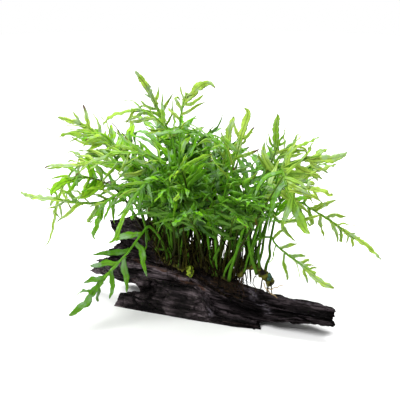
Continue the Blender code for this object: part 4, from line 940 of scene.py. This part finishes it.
class Finish:
    """A Principled material and a short way to add and join its nodes."""

    def __init__(self, name):
        self.material = bpy.data.materials.new(name)
        self.material.use_nodes = True
        self.tree = self.material.node_tree
        self.shader = self.tree.nodes["Principled BSDF"]
        self.output = self.tree.nodes["Material Output"]

    def node(self, kind, settings=(), **inputs):
        """A new node with its settings and inputs."""
        made = self.tree.nodes.new("ShaderNode" + kind)
        for key, value in dict(settings).items():
            setattr(made, key, value)
        for key, value in inputs.items():
            self.put(made.inputs[key.replace("_", " ")], value)
        return made

    def put(self, socket, value):
        """Joins a socket to another node's output, or gives it a plain value or colour."""
        if isinstance(value, bpy.types.NodeSocket):
            self.tree.links.new(value, socket)
        elif isinstance(value, tuple) and len(value) == 3 and socket.type == "RGBA":
            socket.default_value = (*value, 1.0)
        else:
            socket.default_value = value

    def math(self, operation, a, b):
        """One operation on two numbers."""
        made = self.node("Math", {"operation": operation})
        self.put(made.inputs[0], a)
        self.put(made.inputs[1], b)
        return made.outputs[0]

    def times(self, a, b):
        return self.math("MULTIPLY", a, b)

    def plus(self, a, b):
        return self.math("ADD", a, b)

    def ramp(self, factor, *stops):
        """Colours or greys at places from 0 to 1."""
        made = self.tree.nodes.new("ShaderNodeValToRGB")
        band = made.color_ramp
        while len(band.elements) < len(stops):
            band.elements.new(0.5)
        for element, (place, colour) in zip(band.elements, stops):
            element.position = place
            element.color = (*colour, 1.0) if isinstance(colour, tuple) else (colour, colour, colour, 1.0)
        self.put(made.inputs[0], factor)
        return made.outputs[0]

    def mix(self, factor, a, b, blend="MIX"):
        """Colour a, and b over it by the factor. The colours' sockets are the seventh and eighth."""
        made = self.node("Mix", {"data_type": "RGBA", "blend_type": blend})
        for number, value in ((0, factor), (6, a), (7, b)):
            self.put(made.inputs[number], value)
        return made.outputs[2]

    def noise(self, scale, detail=3.0, rough=0.55, vector=None, distortion=0.0):
        """Cloudy noise from 0 to 1, with scale spots to the metre."""
        made = self.node("TexNoise", Scale=scale, Detail=detail, Roughness=rough, Distortion=distortion)
        self.put(made.inputs["Vector"], vector or self.place())
        return made.outputs["Fac"]

    def place(self, turn=0.0, scale=(1.0, 1.0, 1.0)):
        """Object coordinates, turned about z and scaled."""
        where = self.node("TexCoord").outputs["Object"]
        if turn or scale != (1.0, 1.0, 1.0):
            first = self.node("Mapping", Vector=where, Rotation=(0.0, 0.0, turn))
            return self.node("Mapping", Vector=first.outputs[0], Scale=scale).outputs[0]
        return where

    def values(self, label):
        """The four numbers of a colour attribute."""
        read = self.node("Attribute", {"attribute_name": label})
        parts = self.node("SeparateColor", Color=read.outputs["Color"])
        return (*parts.outputs[:3], read.outputs["Alpha"])

    def bump(self, *layers):
        """Heights in metres with their strengths, one over the other."""
        normal = None
        for height, strength, distance in layers:
            made = self.node("Bump", Height=height, Strength=strength, Distance=distance)
            if normal is not None:
                self.put(made.inputs["Normal"], normal)
            normal = made.outputs[0]
        self.put(self.shader.inputs["Normal"], normal)

    def set(self, **inputs):
        """Fills inputs of the Principled shader."""
        for key, value in inputs.items():
            self.put(self.shader.inputs[key.replace("_", " ")], value)


def wood_finish(name, cloudy, wet):
    """Water-soaked driftwood: near black with a faint purple cast, cloudy patches and streaks along the
    grain, lighter on raised edges and brown along a few cracks and edges. Painted shade makes it darker
    to the right and near black in cracks and hollows; pale grey marks a scar, and painted highlights
    run along lit ridges and edges. A wet look reflects more."""
    look = Finish(name)
    dark, edge, brown, pale = look.values("form")
    grain = look.noise(1.0, 4.0, 0.6, look.place(LOG_ANGLE, (55.0, 900.0, 900.0)), 0.4)
    strand = look.noise(1.0, 3.0, 0.6, look.place(LOG_ANGLE, (24.0, 330.0, 330.0)), 0.6)
    speckle = look.noise(700.0, 3.0, 0.6)
    cloud = look.noise(42.0, 5.0, 0.65)
    streak = look.plus(look.times(grain, 0.49 * (1.0 - cloudy)), look.times(strand, 0.51 * (1.0 - cloudy)))
    streak = look.plus(streak, look.times(cloud, cloudy))
    streak = look.plus(streak, look.times(edge, 0.075))
    base = look.ramp(streak, (0.42, (0.0010, 0.0008, 0.0008)), (0.49, (0.0088, 0.0070, 0.0073)),
                     (0.54, (0.0330, 0.0255, 0.0275)), (0.61, (0.120, 0.096, 0.105)))
    base = look.mix(look.ramp(speckle, (0.62, 0.0), (0.76, 0.30)), base, (0.050, 0.040, 0.040))
    # Painted shade: the wood is darkened to the right, where it lies in shade
    where = look.node("SeparateXYZ", Vector=look.place(LOG_ANGLE))
    shade_to_right = look.ramp(where.outputs[0], (0.020, 0.0), (0.050, 0.80))
    base = look.mix(shade_to_right, base, look.mix(1.0, base, (0.12, 0.11, 0.12), "MULTIPLY"))
    brown = look.times(brown, look.ramp(grain, (0.35, 0.25), (0.6, 0.9)))
    base = look.mix(brown, base, (0.060, 0.025, 0.011))
    # Pale grey on a scar, and painted highlights along lit ridges and edges
    pale = look.times(pale, look.ramp(speckle, (0.35, 0.20), (0.6, 0.9)))
    base = look.mix(pale, base, (0.125, 0.110, 0.130))
    # Painted shade: near black in cracks, hollows and grooves
    base = look.mix(look.times(dark, 0.9), base, (0.0008, 0.0007, 0.0007))
    rough = look.ramp(look.noise(160.0, 4.0, 0.65), (0.35, 0.30), (0.62, 0.60))
    look.set(Base_Color=base, Roughness=rough, Specular_IOR_Level=wet)
    look.bump((strand, 0.75, 0.0022), (grain, 0.75, 0.0011), (speckle, 0.40, 0.0006))
    return look.material


def leaf_finish(name, deep, middle, bright):
    """Thin living leaf: green by how old it is and by painted light and shade from its place in the tuft,
    a darker midrib, faint slanting veins, a painted blue-grey sheen in places on the upper face, a
    paler underside and dry brown tips."""
    look = Finish(name)
    across, along, tone, dry = look.values("form")
    _, under, _, speck = look.values("marks")
    mottle = look.noise(140.0, 4.0, 0.6)
    blotch = look.noise(38.0, 2.0, 0.5)
    # The tone carries how old a leaf is and painted light and shade from its place in the tuft
    age_and_light = look.plus(tone, look.times(look.math("SUBTRACT", blotch, 0.5), 0.55))
    green = look.ramp(age_and_light, (0.0, deep), (0.45, middle), (1.0, bright))
    green = look.mix(look.ramp(mottle, (0.38, 0.35), (0.62, 0.0)), green, deep)
    slant = look.math("SUBTRACT", along, look.times(across, 1.5))
    vein = look.math("PINGPONG", look.times(slant, 0.62), 0.5)
    vein = look.ramp(vein, (0.0, 1.0), (0.12, 0.0))
    green = look.mix(look.times(vein, 0.20), green, (0.45, 0.62, 0.14))
    midrib = look.ramp(across, (0.0, 1.0), (0.30, 0.60), (0.55, 0.0))
    rib = look.mix(speck, (0.06, 0.15, 0.015), (0.10, 0.075, 0.022))
    green = look.mix(look.times(midrib, 0.65), green, rib)
    # Painted sheen: pale blue-grey laid over the upper faces in patches, stronger on brighter leaves
    painted_sheen = look.ramp(look.noise(95.0, 3.0, 0.6, distortion=0.6), (0.49, 0.0), (0.64, 0.58))
    painted_sheen = look.times(painted_sheen, look.ramp(tone, (0.0, 0.20), (0.30, 1.0)))
    green = look.mix(look.times(painted_sheen, look.math("SUBTRACT", 1.0, under)), green, (0.36, 0.49, 0.37))
    green = look.mix(look.times(under, 0.35), green, (0.28, 0.46, 0.10))
    brown = look.mix(look.noise(300.0), (0.16, 0.060, 0.022), (0.018, 0.009, 0.006))
    colour = look.mix(dry, green, brown)
    rough = look.ramp(mottle, (0.3, 0.26), (0.7, 0.42))
    look.set(Base_Color=colour, Roughness=rough, Specular_IOR_Level=0.17)
    look.bump((vein, 0.35, 0.0003), (mottle, 0.40, 0.0008), (look.noise(900.0, 2.0), 0.15, 0.0002))
    glow = look.mix(1.0, colour, (1.0, 1.0, 0.50), "MULTIPLY")
    through = look.node("BsdfTranslucent", Color=look.mix(0.35, glow, (0.40, 0.66, 0.04)))
    joined = look.node("MixShader", Fac=0.38)
    look.put(joined.inputs[1], look.shader.outputs[0])
    look.put(joined.inputs[2], through.outputs[0])
    look.put(look.output.inputs["Surface"], joined.outputs[0])
    return look.material


def stalk_finish(name):
    """Stalks: near black brown at the foot, partly their own colour and partly painted shade low in the
    tuft, bright green when fresh and dark olive when old.
    """
    look = Finish(name)
    _, _, share, speck = look.values("marks")
    mottle = look.noise(140.0, 4.0, 0.6)
    # Both ramps start near black at the foot: the stalks' own brown and painted shade under the fronds
    old = look.ramp(share, (0.0, (0.0070, 0.0045, 0.0025)), (0.22, (0.017, 0.021, 0.004)),
                    (0.50, (0.038, 0.072, 0.006)), (1.0, (0.090, 0.19, 0.018)))
    fresh = look.ramp(share, (0.0, (0.020, 0.030, 0.005)), (0.07, (0.055, 0.15, 0.009)),
                      (0.50, (0.080, 0.25, 0.010)), (1.0, (0.13, 0.31, 0.024)))
    colour = look.mix(look.ramp(speck, (0.35, 0.0), (0.85, 1.0)), old, fresh)
    colour = look.mix(look.ramp(mottle, (0.46, 0.0), (0.72, 0.6)), colour, (0.022, 0.016, 0.006))
    look.set(Base_Color=colour, Roughness=0.42, Specular_IOR_Level=0.04)
    look.bump((mottle, 0.3, 0.0005))
    return look.material


def bark_finish(name, low, high, rough=0.8, shine=0.10):
    """Rhizome, root or moss: two colours broken up by noise, with a rough surface."""
    look = Finish(name)
    _, _, tone, _ = look.values("form")
    cloud = look.noise(260.0, 4.0, 0.65)
    mixed = look.plus(look.times(look.math("SUBTRACT", cloud, 0.5), 1.6), tone)
    look.set(Base_Color=look.ramp(mixed, (0.1, low), (0.9, high)), Roughness=rough, Specular_IOR_Level=shine)
    look.bump((cloud, 0.6, 0.0008), (look.noise(900.0), 0.4, 0.0003))
    return look.material


# Build

def tube_line(node, rows, share, ring=1):
    """rows points along a tube's solid, their radii, and its usual radius. The points at both ends
    have a share of the radius of one ring."""
    centres, radii = tube_course(node)
    radii[0] = radii[-1] = share * radii[ring]
    course = curve_through(np.column_stack([centres, radii]), rows)[None]
    return course[..., :3], course[..., 3], radii[2:-2].mean()


def lumpy_rings(line, radius, sides, amount, scale, seed, octaves):
    """Rings of a round sleeve, pushed outward by amount times fractal noise, and that noise."""
    rings = round_rings(line, radius, sides)
    lump = fractal(rings / scale, seed, octaves)
    centre = line[:, :, None]
    return centre + (rings - centre) * (1.0 + amount * lump)[..., None], lump


def mat_roots(mat, top, chance, count, lines, ways, reaches, lifted, bright):
    """Single roots that run over the wood: each starts between two of the log's lines, heads its way,
    wanders to and fro, and is lifted off the wood in the middle of its course."""
    run = np.linspace(0.0, 1.0, 12)[None, :]
    u = chance.uniform(0.33, 0.62, (count, 1))
    v = chance.uniform(*lines, (count, 1)) / len(LOG_LINES)
    way = chance.uniform(*ways, (count, 1))
    reach = chance.uniform(*reaches, (count, 1))
    wander = chance.normal(0, 0.8, (count, 1)) * run
    wander = wander + 0.6 * np.sin(6 * run + chance.uniform(0, 6, (count, 1)))
    u = u + np.cos(way + wander) * reach * run / LOG_LENGTH
    v = v + np.sin(way + wander) * reach * run / LOG_GIRTH
    course = top.at(u, v, 0.3 + chance.uniform(0.3, lifted, (count, 1)) * np.sin(math.pi * run) ** 0.7)
    radius = chance.uniform(0.16, 0.40, (count, 1)) * (1.0 - 0.6 * run)
    add_tubes(mat, course, radius, 4, tone=bright * chance.uniform(0, 1, (count, 1, 1)) ** 2.0)


# About how long the log is, and how far it is round the log and round the slab
LOG_LENGTH, LOG_GIRTH, SLAB_GIRTH = 205.0, 150.0, 70.0

chance = np.random.RandomState(SEED)
log_body = wood_piece(
    "driftwood_log_worn", "driftwood_log", "driftwood", wood_finish("soaked_driftwood", 0.30, 0.02),
    depths=(12.0, 1.0), seed=3, lines=LOG_LINES, stations=LOG_STATIONS, features=LOG_MARKS,
    rows=320, sides=210, girth=LOG_GIRTH, blur=2.0, ragged=(3.6, 0.5),
    crumbly=((-90, -60, -42, -30, 90, 112, 118), (1.0, 0.9, 0.45, 0.12, 0.05, 0.35, 0.6)))
wood_piece(
    "driftwood_slab_worn", "driftwood_slab", "driftwood_slab",
    wood_finish("soaked_driftwood_slab", 0.46, 0.04),
    depths=(8.0, 1.5), seed=7, lines=SLAB_LINES, stations=SLAB_STATIONS, features=SLAB_MARKS,
    rows=210, sides=130, girth=SLAB_GIRTH, blur=0.6, ragged=(1.6, 1.6),
    crumbly=((-50, -30, -20, 16, 24, 32, 46, 66), (0.7, 0.6, 0.12, 0.05, 0.4, 0.5, 0.5, 1.0)))
log_top = WoodTop(log_body)

rhizome_look = bark_finish("mossy_rhizome", (0.006, 0.004, 0.0025), (0.085, 0.085, 0.010))
crowns, rootlet_courses = [], []
for number, (node, moss, amount, count, spread) in enumerate((
        ("rhizome_main", 0.0, 0.30, 120, 1.0), ("rhizome_right", 0.50, 0.44, 26, 0.3),
        ("rhizome_front", 0.60, 0.30, 24, 1.0))):
    line, radius, usual = tube_line(node, CROWN_PLACES, 0.45)
    crowns.append(line[0])
    rings, lump = lumpy_rings(line, radius, 30, amount, 2.6, 40 + number, 4)
    if node == "rhizome_main":
        moss = 1.15 * np.exp(-((line @ ALONG + 6.0) / 9.0) ** 2)[..., None]
    sleeve_piece("creeping_" + node, rings, line, marks(rings.shape[:3], tone=moss + 0.60 * lump),
                 rhizome_look, node)
    rootlet_courses.append(rootlets(line[0], usual, count, chance, spread))

# The mat covers the log from its start to its end (u), and from line to line across its top (v)
MAT_START, MAT_END = 0.315, 0.625
mat = Skin()
u = np.linspace(MAT_START, MAT_END, 150)[:, None]
turn = 2.0 * math.pi * np.linspace(0.0, 1.0, 60, endpoint=False)[None, :]
edge = np.clip(np.sin(math.pi * (u - MAT_START) / (MAT_END - MAT_START)), 0, 1) ** 0.4
v = (6.45 + 1.05 * np.cos(turn) * edge) / len(LOG_LINES)
thick = np.maximum(np.sin(turn), -0.15) * 2.3 * edge
lump = fractal(grid3(u * 70.0, v * 46.0, 4.0), 15, 4)
rings = log_top.at(u + 0 * v, v, thick * (1.0 + 0.9 * lump) + 0.2)[None]
mat.add(rings, rings[:, 0].mean(axis=1), rings[:, -1].mean(axis=1),
        marks(rings.shape[:3], tone=0.20 + 0.3 * lump))
mat_roots(mat, log_top, chance, 460, (5.4, 7.7), (0.0, 2 * math.pi), (6, 22), 3.4, 0.9)
mat_roots(mat, log_top, chance, 90, (5.9, 6.6), (-2.0, -1.1), (10, 30), 1.2, 1.3)
for course, radius in rootlet_courses:
    add_tubes(mat, course, radius, 4, tone=1.1 * chance.uniform(0, 1, (len(course), 1, 1)) ** 2.5)
mat_look = bark_finish("root_felt", (0.0040, 0.0028, 0.0020), (0.036, 0.020, 0.009))
piece("root_tangle", mat, mat_look, ["root_mat"])

for node, slot, low, high in (("bud_front", "bud_bright", (0.020, 0.032, 0.003), (0.19, 0.27, 0.010)),
                              ("bud_right", "bud_dark", (0.006, 0.024, 0.014), (0.026, 0.085, 0.055))):
    line, radius, _ = tube_line(node, 50, 0.3)
    rings, lump = lumpy_rings(line, radius, 24, 0.42, 1.8, 60, 3)
    sleeve_piece("growing_" + node, rings, line, marks(rings.shape[:3], tone=0.50 + 0.8 * lump),
                 bark_finish(node + "_skin", low, high, 0.5, 0.25), node)

root_look = {"root_mat": bark_finish("dark_root", (0.005, 0.003, 0.002), (0.040, 0.022, 0.010)),
             "root": bark_finish("pale_root", (0.12, 0.070, 0.030), (0.46, 0.34, 0.17))}
for node, slot in (("root_1", "root_mat"), ("root_2", "root_mat"), ("root_3", "root"), ("root_4", "root")):
    line, radius, _ = tube_line(node, 60, 0.5, ring=-2)
    line = line + 0.35 * np.sin(np.linspace(0, 17, 60))[:, None] * UP
    rings = round_rings(line, 0.6 * radius, 8)
    sleeve_piece("hanging_" + node, rings, line, marks(rings.shape[:3], tone=0.5), root_look[slot],
                 node)

# Brightness, and leaflet and end leaflet widths, of fronds that stand out in the picture, then of the rest
FROND_LOOKS = {
    1: (0.10, 1.24, 1.05), 2: (0.42, 0.82, 0.80), 3: (0.52, 0.84, 0.82), 4: (0.50, 0.80, 0.86),
    5: (0.62, 0.90, 0.90), 6: (0.66, 0.80, 0.70), 7: (0.44, 0.84, 0.76), 8: (0.50, 0.84, 0.90),
    9: (0.66, 0.86, 0.90), 10: (0.66, 0.86, 1.55), 11: (0.68, 0.90, 1.45), 12: (0.04, 0.95, 1.0),
    13: (0.70, 1.00, 1.20), 14: (0.34, 0.95, 1.0), 15: (0.60, 0.95, 1.10), 16: (0.62, 0.86, 1.15),
    18: (0.80, 1.30, 1.20), 19: (1.05, 0.98, 0.90), 20: (1.00, 0.85, 1.05), 21: (0.66, 1.05, 1.30),
    22: (0.82, 1.15, 1.05), 23: (0.80, 1.10, 1.0)}
OUTER_LOOK, INNER_LOOK = (0.60, 0.86, 0.82), (0.34, 1.22, 1.25)
# The fronds up to this number can be told apart in the picture; the rest fill the dense middle and back
LAST_OUTER = 24

leaf_look = leaf_finish("fern_leaf", (0.036, 0.155, 0.003), (0.180, 0.48, 0.009), (0.54, 0.74, 0.11))
# The inner fronds' greens are lighter than the outer ones': painted light that makes up for the shade in the
# dense middle
inner_look = leaf_finish("fern_leaf_inner", (0.044, 0.190, 0.0030), (0.235, 0.64, 0.006), (0.52, 0.80, 0.050))
stalk_look = stalk_finish("fern_stalk")
for node in sorted(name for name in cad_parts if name.startswith("frond_")):
    number = int(node[-2:])
    outer = number <= LAST_OUTER
    bright, wide, end_wide = FROND_LOOKS.get(number, OUTER_LOOK if outer else INNER_LOOK)
    fern_frond(node, (leaf_look if outer else inner_look, stalk_look),
               chance, bright, 0.16 if outer else 0.85, wide, end_wide, outer)
piece("fern_young_fronds", young_fronds(crowns, 84, chance), (inner_look, stalk_look), [])
piece("fern_front_stalks", front_stalks(), stalk_look, [])
piece("fern_old_stalks", old_stalks(crowns, 380, chance),
      bark_finish("old_stalk", (0.0045, 0.0030, 0.0016), (0.042, 0.040, 0.006), 0.8, 0.02), [])


# Studio

TUFT_FOOT = (0.0, 0.0, 0.07)


def softbox(name, place, size, power):
    """A rectangular light that faces the tuft's foot."""
    light = bpy.data.lights.new(name, "AREA")
    light.shape = "RECTANGLE"
    light.size, light.size_y = size
    light.energy = power
    lamp = bpy.data.objects.new(name, light)
    bpy.context.scene.collection.objects.link(lamp)
    lamp.location = place
    way = Vector(TUFT_FOOT) - Vector(place)
    lamp.rotation_euler = way.to_track_quat("-Z", "Y").to_euler()


# The room: the camera sees plain white, and the white light on the pieces is weaker
ROOM_LIGHT = 0.42
WHITE = (1.0, 1.0, 1.0, 1.0)
scene = bpy.context.scene
scene.view_settings.view_transform = "Standard"
world = bpy.data.worlds.new("pale_room")
scene.world = world
world.use_nodes = True
room = world.node_tree
room_light = room.nodes["Background"]
room_light.inputs["Color"].default_value = WHITE
room_light.inputs["Strength"].default_value = ROOM_LIGHT
backdrop = room.nodes.new("ShaderNodeBackground")
backdrop.inputs["Color"].default_value = WHITE
seen = room.nodes.new("ShaderNodeLightPath")
either = room.nodes.new("ShaderNodeMixShader")
room.links.new(seen.outputs["Is Camera Ray"], either.inputs[0])
room.links.new(room_light.outputs[0], either.inputs[1])
room.links.new(backdrop.outputs[0], either.inputs[2])
room.links.new(either.outputs[0], room.nodes["World Output"].inputs["Surface"])

floor_mesh = bpy.data.meshes.new("floor")
FLOOR_RADIUS, FLOOR_SIDES = 1.05, 64
round_floor = [(FLOOR_RADIUS * math.cos(turn), FLOOR_RADIUS * math.sin(turn), 0.0)
               for turn in np.linspace(0.0, 2.0 * math.pi, FLOOR_SIDES, endpoint=False)]
floor_mesh.from_pydata(round_floor, [], [tuple(range(FLOOR_SIDES))])
floor = bpy.data.objects.new("floor", floor_mesh)
scene.collection.objects.link(floor)
floor_look = bpy.data.materials.new("plain_floor")
floor_look.use_nodes = True
floor_shader = floor_look.node_tree.nodes["Principled BSDF"]
floor_shader.inputs["Base Color"].default_value = (0.88, 0.88, 0.88, 1.0)
floor_shader.inputs["Roughness"].default_value = 0.9
floor_mesh.materials.append(floor_look)
floor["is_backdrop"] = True

softbox("key_softbox", (-0.55, -0.75, 1.05), (0.7, 0.7), 22.0)
softbox("top_softbox", (0.25, 0.35, 1.2), (0.8, 0.6), 22.0)

CAMERA_DISTANCE = 1.0
CAMERA_ELEVATION = math.radians(18.0)
CAMERA_TARGET = np.array([0.0072, 0.0, 0.082])
camera_data = bpy.data.cameras.new("camera")
camera_data.sensor_width = 36.0
camera_data.lens = 125.0
camera_data.clip_start = 0.05
camera = bpy.data.objects.new("camera", camera_data)
scene.collection.objects.link(camera)
back = np.array([0.0, -math.cos(CAMERA_ELEVATION), math.sin(CAMERA_ELEVATION)])
camera.location = CAMERA_TARGET + CAMERA_DISTANCE * back
camera.rotation_euler = (math.pi / 2 - CAMERA_ELEVATION, 0.0, 0.0)
scene.camera = camera

low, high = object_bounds()
